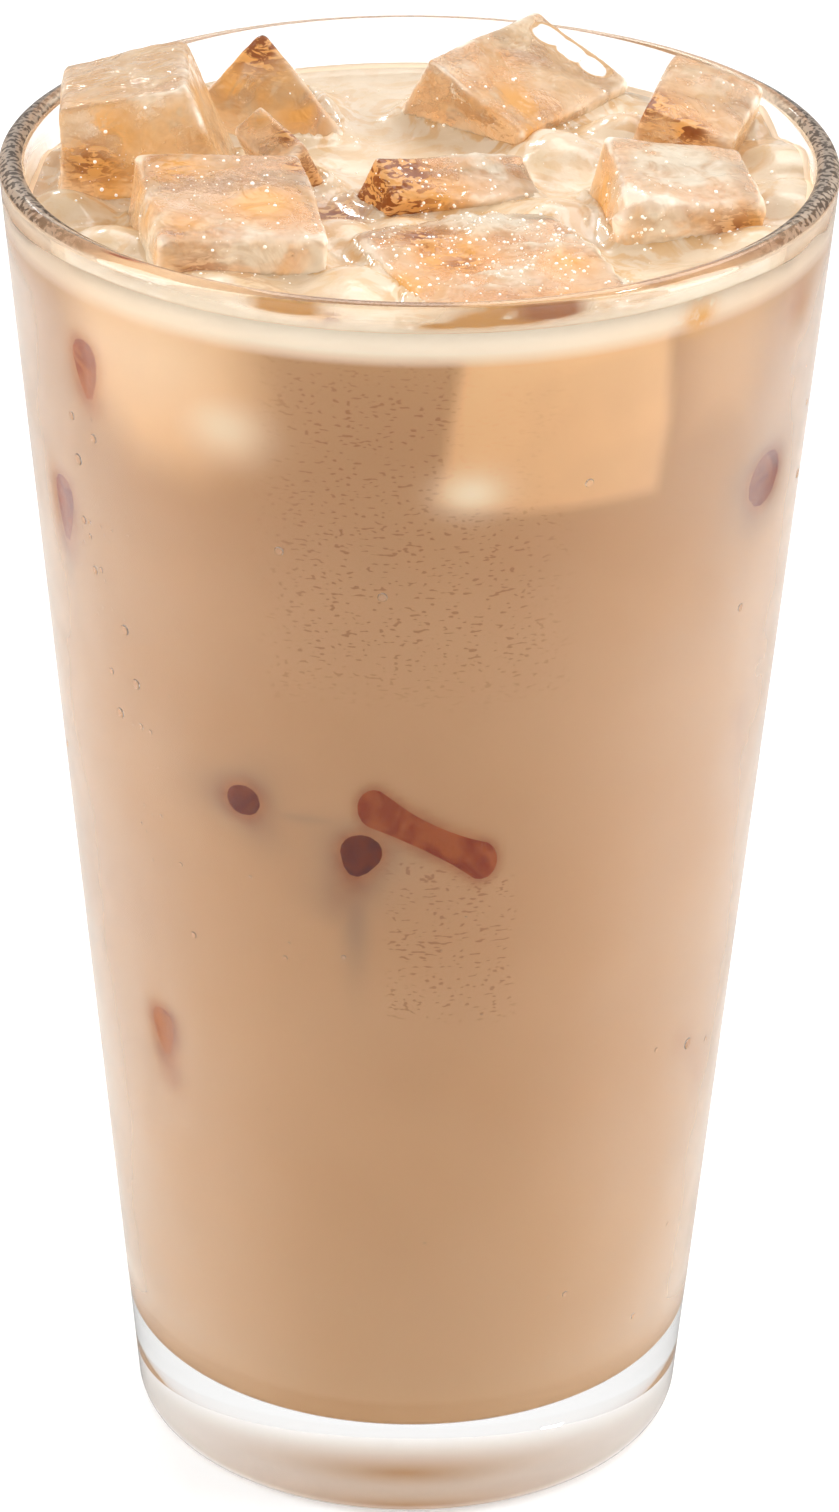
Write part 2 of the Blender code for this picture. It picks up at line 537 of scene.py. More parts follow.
# %% Ice cubes
ICE_MESH_STEP = 0.4 * MM
DENT_DEPTH = 0.80 * MM
DENT_SCALE = 120.0
PIT_DEPTH = 0.12 * MM
PIT_SCALE = 700.0


def welded_copy(node, name):
    shape = bmesh.new()
    shape.from_mesh(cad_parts[node].data)
    bmesh.ops.remove_doubles(shape, verts=shape.verts, dist=0.002 * MM)
    bmesh.ops.recalc_face_normals(shape, faces=shape.faces)
    mesh = bpy.data.meshes.new(name)
    shape.to_mesh(mesh)
    shape.free()
    return new_object(name, mesh)


def normals_of(obj):
    return read_all(obj.data.vertex_normals, "vector", np.float32, 3).reshape(-1, 3).astype(float)


def store(obj, name, values):
    """Keep a number from 0 to 1 on each point, for a finish or a tree to read."""
    layer = obj.data.attributes.new(name, "FLOAT", "POINT")
    layer.data.foreach_set("value", np.clip(values, 0.0, 1.0).astype(np.float32))


def move_points(obj, points):
    obj.data.vertices.foreach_set("co", points.astype(np.float32).ravel())
    obj.data.update()


def melt(obj, seed):
    """Sink dents and pits into the rebuilt, smoothed cube."""
    points = points_of(obj)
    normals = normals_of(obj)
    shift = Vector((seed * 3.1, seed * 1.7, seed * 0.9))
    depth = np.empty(len(points))
    for i, point in enumerate(points):
        place = Vector(point)
        dent = 0.5 + 0.5 * noise.noise(place * DENT_SCALE + shift)
        pit = 0.5 + 0.5 * noise.noise(place * PIT_SCALE - shift)
        depth[i] = DENT_DEPTH * dent + PIT_DEPTH * pit
    move_points(obj, points - normals * depth[:, None])


def make_ice(node, seed):
    cube = welded_copy(node, node.replace("ice_", "cube_"))
    rebuild = cube.modifiers.new("Even faces", "REMESH")
    rebuild.mode = "VOXEL"
    rebuild.voxel_size = ICE_MESH_STEP
    rebuild.use_smooth_shade = True
    relax = cube.modifiers.new("Relax", "SMOOTH")
    relax.factor = 0.5
    relax.iterations = 8
    settle(cube)
    melt(cube, seed)
    return cube


def ice_finish():
    material, tree, shader = new_material("wet_ice", transmission=0.85, ior=1.31)
    tan = cloudy(tree, 95.0, 0.35, 0.65)
    base = blend_colour(tree, tan, (0.96, 0.88, 0.76), (0.90, 0.72, 0.50))
    cracks = cloudy(tree, 320.0, 0.58, 0.68, detail=4.0, stretch=(1.0, 1.0, 0.3))
    base = blend_colour(tree, times(tree, cracks, 0.6), base, (1.0, 0.97, 0.92))
    tree.links.new(base, shader.inputs["Base Color"])
    frost = cloudy(tree, 160.0, 0.50, 0.75)
    feed(tree, shader.inputs["Roughness"], scaled(tree, frost, 0.25, 0.02))
    relief = scaled(tree, cloudy(tree, 900.0, 0.4, 0.7), 0.25, cloudy(tree, 210.0, 0.3, 0.7))
    roughen(tree, shader, relief, 0.30 * MM)
    return material


WET_ICE = ice_finish()
cubes = {}
for number, node in enumerate(ICE_NODES):
    cube = make_ice(node, number + 1)
    cube.data.materials.clear()
    cube.data.materials.append(WET_ICE)
    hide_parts(node)
    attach(cube, BODY)
    cubes[node] = cube
print("ice:", {name: len(cube.data.polygons) for name, cube in cubes.items()})

# %% [markdown]
# ## Sunken ice
#
# A sunken cube shows only where an edge or a corner presses against the wall.
# Each is placed by its contact: how far round the glass (0 is the front), how
# high, how the touching edge leans, and how far it tips out of the wall's line.

# %% Sunken cubes
SUNKEN_CUBES = {
    # name: (round the glass, height, lean, tip, size, edge radius, press, touches with, paleness),
    # degrees and mm
    "top_left": (-53.2, 137.8, 2, 5.5, 14, 4.6, 0.42, "corner", 0.60),
    "left_streak": (-65.5, 119.5, -4, 4.5, 15, 4.6, 0.42, "corner", 0.42),
    "right_oval": (63.6, 122.8, 5, 26.0, 15, 6.0, 0.85, "corner", 0.28),
    "small_blob": (-28.3, 91.8, 30, 30.0, 14, 4.0, 0.46, "corner", 0.08),
    "big_blob": (-7.6, 87.4, -14, 13.0, 15, 3.9, 0.62, "corner", 0.0),
    "long_bar": (2.2, 90.1, 67, 0.0, 24, 3.8, 0.86, "edge", 0.50),
    "low_left": (-49.0, 58.8, 3, 5.0, 15, 3.8, 0.34, "corner", 0.66),
    "right_soft": (63.7, 94.0, 28, 4.0, 15, 3.0, -0.75, "corner", 0.5),
    "low_soft": (58.3, 55.0, 35, 3.0, 15, 3.0, -0.70, "corner", 0.5),
    "back_high": (150.0, 116.0, 12, 4.0, 16, 3.0, 0.35, "corner", 0.4),
    "back_middle": (-160.0, 84.0, 50, 3.0, 17, 3.0, 0.35, "edge", 0.4),
    "right_back": (112.0, 92.0, -10, 26.0, 15, 4.0, 0.55, "corner", 0.2),
    "left_back": (-118.0, 104.0, 20, 22.0, 15, 4.0, 0.50, "corner", 0.5),
    "back_low": (175.0, 55.0, -30, 12.0, 14, 3.0, 0.35, "corner", 0.8),
}
DRINK_OVERLAP = 0.12 * MM       # how far the drink reaches into the wall
EDGE_SEGMENTS = 7
DARK_BELOW = 0.4                # cubes less pale than this put a painted grey shade round their spot


def contact_turn(azimuth, lean, tip):
    """The turn of a cube whose upright edge faces the wall, leaning and tipped."""
    outward = Vector((math.sin(azimuth), -math.cos(azimuth), 0.0))
    edge = Matrix.Rotation(lean, 3, outward) @ Vector((0.0, 0.0, 1.0))
    side = edge.cross(outward).normalized()
    slope = math.atan((inner_lip - inner_foot) / (lip_height - floor_ring)) * math.cos(lean)
    edge = Matrix.Rotation(tip + slope, 3, side) @ edge
    facing = side.cross(edge).normalized()
    turn = Matrix((facing, edge.cross(facing), edge)).transposed()
    return turn @ Matrix.Rotation(math.radians(45), 3, "Z")


def wrapped(points, azimuth):
    """Bend round the glass's axis, as ice that has melted to the wall's curve."""
    deep = points @ np.array((math.sin(azimuth), -math.cos(azimuth), 0.0))
    across = points @ np.array((math.cos(azimuth), math.sin(azimuth), 0.0))
    turn = azimuth + across / inner_radius(points[:, 2])
    return np.stack((deep * np.sin(turn), -deep * np.cos(turn), points[:, 2]), axis=1)


def pressed_cube(name, azimuth, height, lean, tip, size, edge_radius, press, touch):
    """A cube with rounded edges, moved until it presses into the wall at its contact."""
    shape = bmesh.new()
    made = bmesh.ops.create_cube(shape, size=size)
    bmesh.ops.bevel(shape, geom=list(shape.edges) + made["verts"], offset=edge_radius,
                    segments=EDGE_SEGMENTS, profile=0.5, affect="EDGES")
    mesh = bpy.data.meshes.new(name)
    shape.to_mesh(mesh)
    shape.free()
    mesh.shade_smooth()
    obj = new_object(name, mesh)
    outward = np.array((math.sin(azimuth), -math.cos(azimuth), 0.0))
    along = np.array((math.cos(azimuth), math.sin(azimuth), 0.0))
    points = points_of(obj) @ np.array(contact_turn(azimuth, lean, tip)).T
    points += outward * (inner_radius(height) - size) + (0.0, 0.0, height)
    if touch == "edge":
        points = wrapped(points, azimuth)
    for _ in range(6):
        past = np.hypot(points[:, 0], points[:, 1]) - inner_radius(points[:, 2]) - DRINK_OVERLAP
        deepest = points[past.argmax()]
        points += outward * (press - past.max())
        if touch == "corner":
            points -= along * (deepest @ along) + (0.0, 0.0, deepest[2] - height)
    move_points(obj, points)
    return obj


def dark_ice_finish():
    # Painted shade: the sunken ice is opaque and dark red-brown, for the dim coffee seen through the
    # clear ice; a cube's paleness lightens it where milk covers it.
    material, tree, shader = new_material("sunken_ice", roughness=0.5, specular=0.0)
    patches = cloudy(tree, 260.0, 0.38, 0.62, detail=5.0, swirl=1.0)
    dark = blend_colour(tree, patches, (0.15, 0.012, 0.0), (0.22, 0.028, 0.0))
    rust = blend_colour(tree, patches, (0.36, 0.045, 0.002), (0.52, 0.12, 0.02))
    pale = blend_colour(tree, patches, (0.80, 0.34, 0.10), (0.86, 0.44, 0.16))
    twice = times(tree, attribute(tree, "pale"), 2.0)
    tone = blend_colour(tree, twice, dark, rust)
    tone = blend_colour(tree, arithmetic(tree, "SUBTRACT", twice, 1.0), tone, pale)
    tree.links.new(tone, shader.inputs["Base Color"])
    roughen(tree, shader, cloudy(tree, 400.0, 0.3, 0.7), 0.1 * MM)
    return material


def joined(objects, name):
    """One object out of several."""
    bpy.ops.object.select_all(action="DESELECT")
    for obj in objects:
        obj.select_set(True)
    bpy.context.view_layer.objects.active = objects[0]
    bpy.ops.object.join()
    objects[0].name = name
    objects[0].data.name = name
    return objects[0]


def tree_of(obj):
    """A search tree of an object's faces."""
    shape = bmesh.new()
    shape.from_mesh(obj.data)
    found = BVHTree.FromBMesh(shape)
    shape.free()
    return found


sunken = []
dark_trees = []
for name, place in SUNKEN_CUBES.items():
    azimuth, height, lean, tip, size, edge_radius, press, touch, pale = place
    block = pressed_cube(
        name, math.radians(azimuth), height * MM, math.radians(lean), math.radians(tip),
        size * MM, edge_radius * MM, press * MM, touch)
    store(block, "pale", np.full(len(block.data.vertices), pale))
    sunken.append(block)
    if pale < DARK_BELOW:
        dark_trees.append(tree_of(block))
sunken_ice = joined(sunken, "sunken_ice")
sunken_ice.data.materials.append(dark_ice_finish())
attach(sunken_ice, BODY)
print("sunken cubes:", len(SUNKEN_CUBES), "faces:", len(sunken_ice.data.polygons))

# %% [markdown]
# ## Where the coffee stains the milk
#
# The marbling isn't even: espresso runs down some faces in golden and brown
# streaks, and foam lies on others. The places were read off the photograph as
# points on the ice and on the drink, and each tone becomes a number on the points.
# The white places are no stain but a painted highlight on one facet.

# %% Stains
STAINS = {
    # tone: x, y, z and reach in mm, and strength of each place
    "golden": (
        (-34.0, -5.0, 154.0, 5.5, 1.3), (-32.5, -5.0, 149.0, 3.0, 1.1),
        (-19.0, 17.5, 153.5, 3.8, 1.4), (-13.0, 16.2, 149.9, 3.0, 1.1),
        (-17.2, 2.5, 155.1, 2.5, 1.1), (-16.1, -18.2, 153.1, 4.5, 1.2),
        (-24.8, -12.2, 154.6, 4.0, 1.1), (-28.5, -21.0, 153.0, 2.5, 1.0),
        (-23.8, -24.2, 153.0, 3.0, 0.9), (2.5, -6.4, 149.5, 3.5, 1.2),
        (3.5, -21.5, 148.5, 5.0, 1.3), (-1.8, -28.6, 147.3, 4.5, 1.2),
        (15.6, -22.5, 148.4, 3.0, 1.1), (5.0, -36.5, 147.0, 3.5, 1.4),
        (16.0, -32.3, 146.6, 4.0, 1.4), (10.8, 17.7, 151.3, 5.0, 1.1),
        (13.0, 14.7, 148.6, 4.0, 1.1), (19.0, -6.4, 149.1, 3.5, 1.4), (27.0, 7.0, 155.0, 4.0, 0.9),
        (21.5, -14.0, 147.0, 2.5, 0.8), (35.0, -12.5, 148.5, 2.5, 1.0),
    ),
    "brown": (
        (-34.5, -5.0, 152.0, 3.0, 0.9), (-17.8, 19.2, 157.0, 3.2, 1.4),
        (-13.9, -0.7, 154.0, 1.8, 1.0), (-13.0, -9.4, 154.0, 1.8, 1.0),
        (-22.2, -26.9, 147.6, 2.6, 0.9), (-17.5, -29.6, 146.3, 2.2, 1.2),
        (-13.6, -31.8, 146.3, 2.2, 1.2), (-9.8, -33.9, 146.3, 2.2, 1.2),
        (-6.5, -3.0, 148.5, 6.0, 1.8), (-3.5, -6.5, 147.5, 5.0, 1.6), (-2.0, -4.5, 151.5, 4.0, 1.5),
        (-9.5, -6.0, 146.5, 3.5, 1.3), (0.5, -17.5, 148.6, 3.0, 1.1), (4.5, -23.0, 148.3, 2.5, 0.9),
        (11.0, -34.8, 146.8, 3.5, 1.2), (24.2, 7.5, 155.2, 2.8, 1.3), (28.7, 4.2, 153.2, 2.6, 1.2),
        (33.0, -12.6, 147.7, 2.8, 0.9),
    ),
    "cream": (
        (-29.0, -4.5, 158.0, 2.5, 0.9), (-36.0, -5.0, 148.6, 3.0, 1.3),
        (-19.0, -26.0, 149.5, 6.0, 1.6), (-12.0, -25.0, 148.0, 5.0, 1.5),
        (-27.5, -22.0, 150.0, 5.0, 1.5), (7.5, -1.0, 150.5, 4.0, 1.2),
        (9.0, -13.0, 149.0, 5.0, 1.1), (10.0, -27.0, 148.2, 4.0, 0.9), (5.5, 20.0, 154.5, 3.0, 0.9),
        (27.3, -6.1, 153.0, 7.0, 1.5), (31.0, -13.0, 149.0, 5.0, 1.2),
        (26.5, -14.0, 147.0, 4.5, 1.5),
    ),
    # not a stain: a painted highlight, a pale facet with a brown outline on the back cube
    "white": (
        (14.6, 33.6, 153.7, 2.6, 1.0), (17.0, 32.4, 152.4, 2.6, 1.0), (19.4, 31.2, 151.2, 2.4, 1.0),
    ),
}


def way_to_ice(point, reach):
    """How far it is to the nearest cube, or the reach if none is nearer."""
    return min(tree.find_nearest(point, reach)[3] or reach for tree in ice_trees.values())


def soft_places(points, places):
    """The strongest of some soft round places (x, y, z, reach, strength) at each point."""
    found = np.zeros(len(points))
    for x, y, z, reach, strength in places:
        away = np.linalg.norm(points / MM - (x, y, z), axis=1) / reach
        found = np.maximum(found, strength * np.exp(-away ** 2))
    return found


# %% [markdown]
# ## The drink
#
# The drink is turned from a fine profile that reaches a hair into the wall, so
# no air shows between them, with a rim where it climbs the glass. The cubes cut
# their hollows in it. Shrinking each cutter a little keeps the drink pressed
# against the ice in the same way.

# %% Drink
WALL_STEP = 0.8 * MM
TOP_STEP = 0.65 * MM
CLIMB = 0.9 * MM                # height of the rim against the glass
FRONT_CLIMB = 2.4 * MM          # and in front, where the milk ran down the wall
CLIMB_REACH = 1.1 * MM
ICE_CLIMB = 2.2 * MM
ICE_CLIMB_REACH = 1.6 * MM
ICE_OVERLAP = 0.15 * MM


def drink_profile():
    floor_z = FLOOR_CENTRE + FLOOR_DISH - DRINK_OVERLAP
    corner = FLOOR_CORNER + DRINK_OVERLAP
    wall_r = inner_foot + DRINK_OVERLAP
    profile = [(0.0, FLOOR_CENTRE - DRINK_OVERLAP)]
    profile += arc(wall_r - corner, floor_z + corner, corner, -90, 0, 8)
    top = LEVEL + CLIMB
    rows = int((top - floor_z - corner) / WALL_STEP)
    for i in range(1, rows + 1):
        z = floor_z + corner + (top - floor_z - corner) * i / rows
        profile.append((inner_radius(z) + DRINK_OVERLAP, z))
    edge = inner_radius(top) + DRINK_OVERLAP
    rings = int(edge / TOP_STEP)
    for i in range(1, rings + 1):
        gap = edge * i / rings
        profile.append((edge - gap, LEVEL + CLIMB * math.exp(-gap / CLIMB_REACH)))
    return profile


def shrunk_cutter(cube):
    cutter = new_object("hollow_" + cube.name, cube.data.copy())
    cutter.data.materials.clear()
    move_points(cutter, points_of(cutter) - normals_of(cutter) * ICE_OVERLAP)
    return cutter


MILK_HEAPS = (
    # x, y, reach, height, all mm
    (39.5, 9.0, 8.0, 4.6), (38.0, -3.0, 7.0, 4.2), (36.5, 19.0, 7.0, 4.0), (36.0, -14.0, 7.0, 3.0),
    (29.0, -25.0, 7.0, 2.2), (-39.0, 9.0, 5.0, 1.6), (-37.0, -7.0, 5.0, 3.8),
    (-31.5, -19.0, 6.5, 4.2), (-20.0, -30.0, 8.0, 3.6), (-7.0, -27.0, 6.0, 3.0),
    (15.2, 11.8, 6.0, 4.2), (-1.0, -12.0, 6.0, 2.6), (13.0, -6.5, 6.0, 3.4), (22.0, 18.0, 5.0, 3.6),
    (-9.0, 13.0, 5.0, 1.2), (-27.0, 17.0, 5.0, 2.4), (-8.5, -12.0, 5.0, 2.4),
    (20.0, -24.0, 6.0, 1.6),
)
ON_EDGE = 0.05 * MM


def lift_round_ice(drink, trees):
    """Let the surface climb the ice and heap up into froth, before the hollows are cut."""
    points = points_of(drink)
    edge_height = LEVEL + CLIMB
    for i in np.flatnonzero(points[:, 2] > LEVEL - 0.1 * MM):
        x, y, z = points[i]
        on_edge = abs(z - edge_height) < ON_EDGE
        if math.hypot(x, y) > inner_radius(z) and not on_edge:
            continue
        place = Vector((x, y, 0.0))
        uneven = 0.9 + 0.35 * noise.noise(place * 130.0) + 0.08 * noise.noise(place * 420.0)
        near = min(tree.find_nearest((x, y, z), 12 * MM)[3] or 1.0 for tree in trees)
        lift = ICE_CLIMB * math.exp(-near / ICE_CLIMB_REACH)
        for heap_x, heap_y, reach, height in MILK_HEAPS:
            away = math.hypot(x / MM - heap_x, y / MM - heap_y) / reach
            lift = max(lift, height * MM * math.exp(-away ** 2))
        gap = max(inner_radius(LEVEL) - math.hypot(x, y), 0.0)
        frontness = min(max(0.35 - y / inner_radius(LEVEL), 0.0), 1.0)
        rim = FRONT_CLIMB * frontness * math.exp(-gap / CLIMB_REACH)
        points[i, 2] = max(z, LEVEL + lift * uneven, LEVEL + rim)
        if on_edge:
            points[i, :2] *= (inner_radius(points[i, 2]) + DRINK_OVERLAP) / math.hypot(x, y)
    move_points(drink, points)


def cut_hollows(drink):
    cutters = [shrunk_cutter(cube) for cube in cubes.values()]
    for cutter in cutters:
        cut = drink.modifiers.new("Hollow", "BOOLEAN")
        cut.operation = "DIFFERENCE"
        cut.solver = "MANIFOLD"
        cut.object = cutter
    settle(drink)
    for cutter in cutters:
        bpy.data.objects.remove(cutter)


ice_trees = {name: tree_of(cube) for name, cube in cubes.items()}

# %% [markdown]
# The milk's colour depends on what is behind it. In front of a cube at the top
# the film of milk is thin and light comes through the ice, so it glows: this is
# painted light, a paler colour with light of its own. In front of a sunken cube
# it goes dark and grey, which is painted shade. A ray shot inwards from each point
# of the side measures that film, and a few more rays round it soften the edges.
# The results are kept as numbers on the points, and the finish mixes colours by them.

# %% What lies behind the drink's surface
# painted light: lit ice faces behind the wall, drawn as shapes on it, glow in the drink's finish
LIT_FACES = {
    # a cube's face behind the wall: its corners (round the glass, height mm), softness mm, strength
    "front_cube": (((6.8, 148.0), (3.4, 129.8), (15.0, 127.9), (36.8, 127.6), (38.0, 135.5),
                    (36.3, 148.0)), 2.2, 0.85),
    "left_cube": (((-56.0, 148.0), (-54.0, 134.0), (-43.0, 130.0), (-33.0, 130.2),
                   (-25.5, 133.0), (-22.8, 139.5), (-24.8, 148.0)), 9.0, 0.80),
    "right_cube": (((41.5, 148.0), (42.5, 134.0), (55.0, 133.0), (57.0, 148.0)), 7.0, 0.30),
}
SHADE_REACH = 0.55 * MM
GREY_REACH = 1.6 * MM
LOOK_IN = 11.0 * MM
SPREAD = 0.6 * MM
# painted light: bright spots where lit corners of ice stand behind the wall
PAINTED_LIGHT_CORNERS = {
    # name: (round the glass, height mm, width mm, strength)
    "front_cube_corner": (7.9, 130.4, 3.2, 1.0),
    "left_cube_corner": (-27.7, 135.6, 4.5, 0.7),
    "left_cube_face": (-38.0, 141.5, 9.0, 0.25),
}


def on_wall(azimuth, height):
    """A point on the inner wall."""
    angle = math.radians(azimuth)
    radius = inner_radius(height)
    return np.array((radius * math.sin(angle), -radius * math.cos(angle), height))


# Spots on the wall: round the glass, height mm, half width mm, half height mm, strength
# painted shade: a dark oval where a cube leans on the wall, added to the contact shade
CONTACT_SHADE_SPOTS = ((65.7, 142.4, 2.6, 2.4, 0.55),)
# a golden spot on the wall; its glow in the finish is painted light
GOLDEN_SPOTS = ((41.8, 146.6, 1.9, 1.7, 1.3),)
# painted shade: grey shadows on the wall
GREY_SHADOWS = ((-9.2, 80.0, 1.5, 8.0, 0.8), (-18.0, 90.8, 6.0, 0.9, 0.5),
                (-65.5, 112.0, 1.3, 5.0, 0.5))


def angle_round(points):
    """Degrees round the glass, 0 at the front and growing to the right."""
    return np.degrees(np.arctan2(points[:, 0], -points[:, 1]))


def inside(points, corners, softness):
    """1 well inside a convex shape drawn on the wall, 0 outside, soft at its edge."""
    along = np.radians(angle_round(points)) * inner_radius(points[:, 2]) / MM
    height = points[:, 2] / MM
    flat = [(math.radians(angle) * inner_radius(z * MM) / MM, z) for angle, z in corners]
    depth = np.full(len(points), 99.0)
    for (x1, z1), (x2, z2) in zip(flat, flat[1:] + flat[:1]):
        length = math.hypot(x2 - x1, z2 - z1)
        depth = np.minimum(depth, ((along - x1) * -(z2 - z1) + (height - z1) * (x2 - x1)) / length)
    soft = np.clip(depth / softness + 0.5, 0, 1)
    return soft * soft * (3 - 2 * soft)


def wall_spots(points, spots):
    """The strongest of some soft spots on the wall at each point."""
    found = np.zeros(len(points))
    for angle, height, half_width, half_height, strength in spots:
        turn_off = np.radians((angle_round(points) - angle + 180) % 360 - 180)
        across = turn_off * inner_radius(height * MM) / MM / half_width
        up = (points[:, 2] / MM - height) / half_height
        found = np.maximum(found, strength * np.exp(-(across ** 2 + up ** 2)))
    return found


def film_strength(point, trees, reach):
    """How thin the milk is between a point of the side and the ice behind it, from 0 to 1."""
    flat = Vector((point[0], point[1], 0.0)).normalized()
    along = Vector((-flat.y, flat.x, 0.0))
    start = Vector(point) + flat * 1.2 * MM
    total = 0.0
    offsets = ((0, 0), (1, 0), (-1, 0), (0, 1), (0, -1))
    for across, rise in offsets:
        origin = start + along * across * SPREAD + Vector((0.0, 0.0, rise * SPREAD))
        hits = [tree.ray_cast(origin, -flat, LOOK_IN)[3] for tree in trees]
        hits = [hit for hit in hits if hit is not None]
        if hits:
            total += math.exp(-max(min(hits) - 1.2 * MM, 0.0) / reach)
    return total / len(offsets)


AT_WALL = 0.1 * MM              # a point this near the wall lies against it
GLOOM_DEPTH = 30 * MM           # the gloom round the ice starts this far under the level
GLOOM_FADE = 18 * MM
LOW_TOP = 75 * MM               # below this height the drink's side turns paler
LOW_FADE = 45 * MM
SPECKLED = (
    # where specks crowd behind the glass: corners as for the lit faces, and softness
    (((-20.0, 108.0), (20.0, 108.0), (20.0, 144.0), (-20.0, 144.0)), 12.0),
    (((-4.0, 67.0), (18.0, 66.0), (17.0, 84.0), (-4.0, 88.0)), 1.5),
)


def show_behind_glass(drink, points, wall):
    """What shows through the wall: painted light of lit ice, painted shade in the gloom round it, in
    grey veils and in dark contact spots, and specks.
    """
    height = points[:, 2]
    glow = np.zeros(len(points))
    for corners, softness, strength in LIT_FACES.values():
        glow = np.maximum(glow, strength * inside(points, corners, softness))
    glow[~wall] = 0.0
    store(drink, "glow", glow)
    # painted shade: the gloom near the ice, away from the lit faces
    near_ice = np.clip((height - (LEVEL - GLOOM_DEPTH)) / GLOOM_FADE, 0, 1)
    store(drink, "gloom", np.where(wall, near_ice * (1 - glow), 0.0))
    store(drink, "low", wall * np.clip((LOW_TOP - height) / LOW_FADE, 0, 1) * 0.7)
    store(drink, "golden_spot", wall * wall_spots(points, GOLDEN_SPOTS))
    # painted light: bright spots at the lit ice corners
    painted_light_spot = np.zeros(len(points))
    for azimuth, corner_height, width, strength in PAINTED_LIGHT_CORNERS.values():
        off = np.linalg.norm((points - on_wall(azimuth, corner_height * MM)) * (1, 1, 1.4), axis=1)
        painted_light_spot = np.maximum(painted_light_spot, strength * np.exp(-(off / (width * MM)) ** 2))
    store(drink, "painted_light_spot", np.where(wall, painted_light_spot, 0.0))
    # painted shade: dark contact spots, and grey shade round the darker cubes, where sunken ice
    # presses behind the wall
    shade = np.zeros(len(points))
    grey_shade = np.zeros(len(points))
    sunken_tree = tree_of(sunken_ice)
    for i in np.flatnonzero(wall & (height < LEVEL)):
        if sunken_tree.find_nearest(points[i], 4 * MM)[3] is not None:
            shade[i] = film_strength(points[i], [sunken_tree], SHADE_REACH)
            grey_shade[i] = film_strength(points[i], dark_trees, GREY_REACH)
    store(drink, "shade", np.maximum(shade, wall_spots(points, CONTACT_SHADE_SPOTS) * wall))
    store(drink, "grey_shade", np.maximum(grey_shade, wall_spots(points, GREY_SHADOWS) * wall))
    speckle = np.zeros(len(points))
    for corners, softness in SPECKLED:
        speckle = np.maximum(speckle, inside(points, corners, softness))
    store(drink, "speckle", speckle * wall)
    print("drink points:", len(points), "against the wall:", int(wall.sum()),
          "glowing:", int((glow > 0.3).sum()))


def show_on_floor(drink, points, radius):
    """A dark brown ring round the edge of the drink's floor, and the underside painted pale with
    light of its own, as if lit from below through the base.
    """
    above_floor = (points[:, 2] - FLOOR_CENTRE - FLOOR_DISH) / MM
    on_floor = radius > inner_foot - 0.75 * FLOOR_CORNER
    # a dark brown ring round the edge of the drink's floor
    store(drink, "floor_edge_brown", np.clip(1 - above_floor / 0.9, 0, 1) * on_floor)
    # painted light: the outer underside of the drink is pale and glows
    store(drink, "under", (above_floor < 0.3) * np.clip((radius / MM - 11.0) / 11.0, 0, 1))


def show_on_top(drink, points, radius, wall):
    """The milk along the wall, the hollows for the ice, stains, and the milk near the ice."""
    height = points[:, 2]
    # the cream band of milk along the wall; the light of its own that the finish gives it is painted
    # light
    by_wall = wall | ((radius > inner_radius(height) - 1.0 * MM) & (height > LEVEL))
    milky = np.clip((height - LEVEL) / (1.3 * MM) + 1.1, 0, 1)
    to_side = np.clip((np.abs(angle_round(points)) - 15) / 40, 0, 1)
    store(drink, "meniscus", by_wall * milky * milky * (3 - 2 * milky) * (1 - 0.4 * to_side))
    top = (height > LEVEL - 1.0 * MM) & ~wall
    hollow = ~wall & ~top & (height > floor_ring)
    store(drink, "hollow", hollow.astype(float))
    for tone in ("golden", "brown"):
        low_places = [place for place in STAINS[tone] if place[2] < LEVEL / MM + 0.5]
        store(drink, tone, soft_places(points, low_places) * ~wall)
    by_ice = np.zeros(len(points))
    for i in np.flatnonzero(top):
        by_ice[i] = math.exp(-way_to_ice(points[i], 8 * MM) / (4.5 * MM))
    store(drink, "by_ice", by_ice)


def describe_surroundings(drink):
    points = points_of(drink)
    radius = np.hypot(points[:, 0], points[:, 1])
    wall = (radius > inner_radius(points[:, 2]) - AT_WALL) & (points[:, 2] > floor_ring)
    show_behind_glass(drink, points, wall)
    show_on_floor(drink, points, radius)
    show_on_top(drink, points, radius, wall)


# %% [markdown]
# Milk scatters light, so the finish is opaque. Behind glass much light is
# thrown back inside the wall, which deepens the colour, so the wall side needs
# a paler paint than it seems. Fine dark dashes are the bubbles against the wall.
# Light and shade are painted on the side too: lit ice, its bright spots, the
# cream band, a golden spot and the underside glow with painted light, and the
# gloom, grey veils and contact spots near the ice are painted shade.

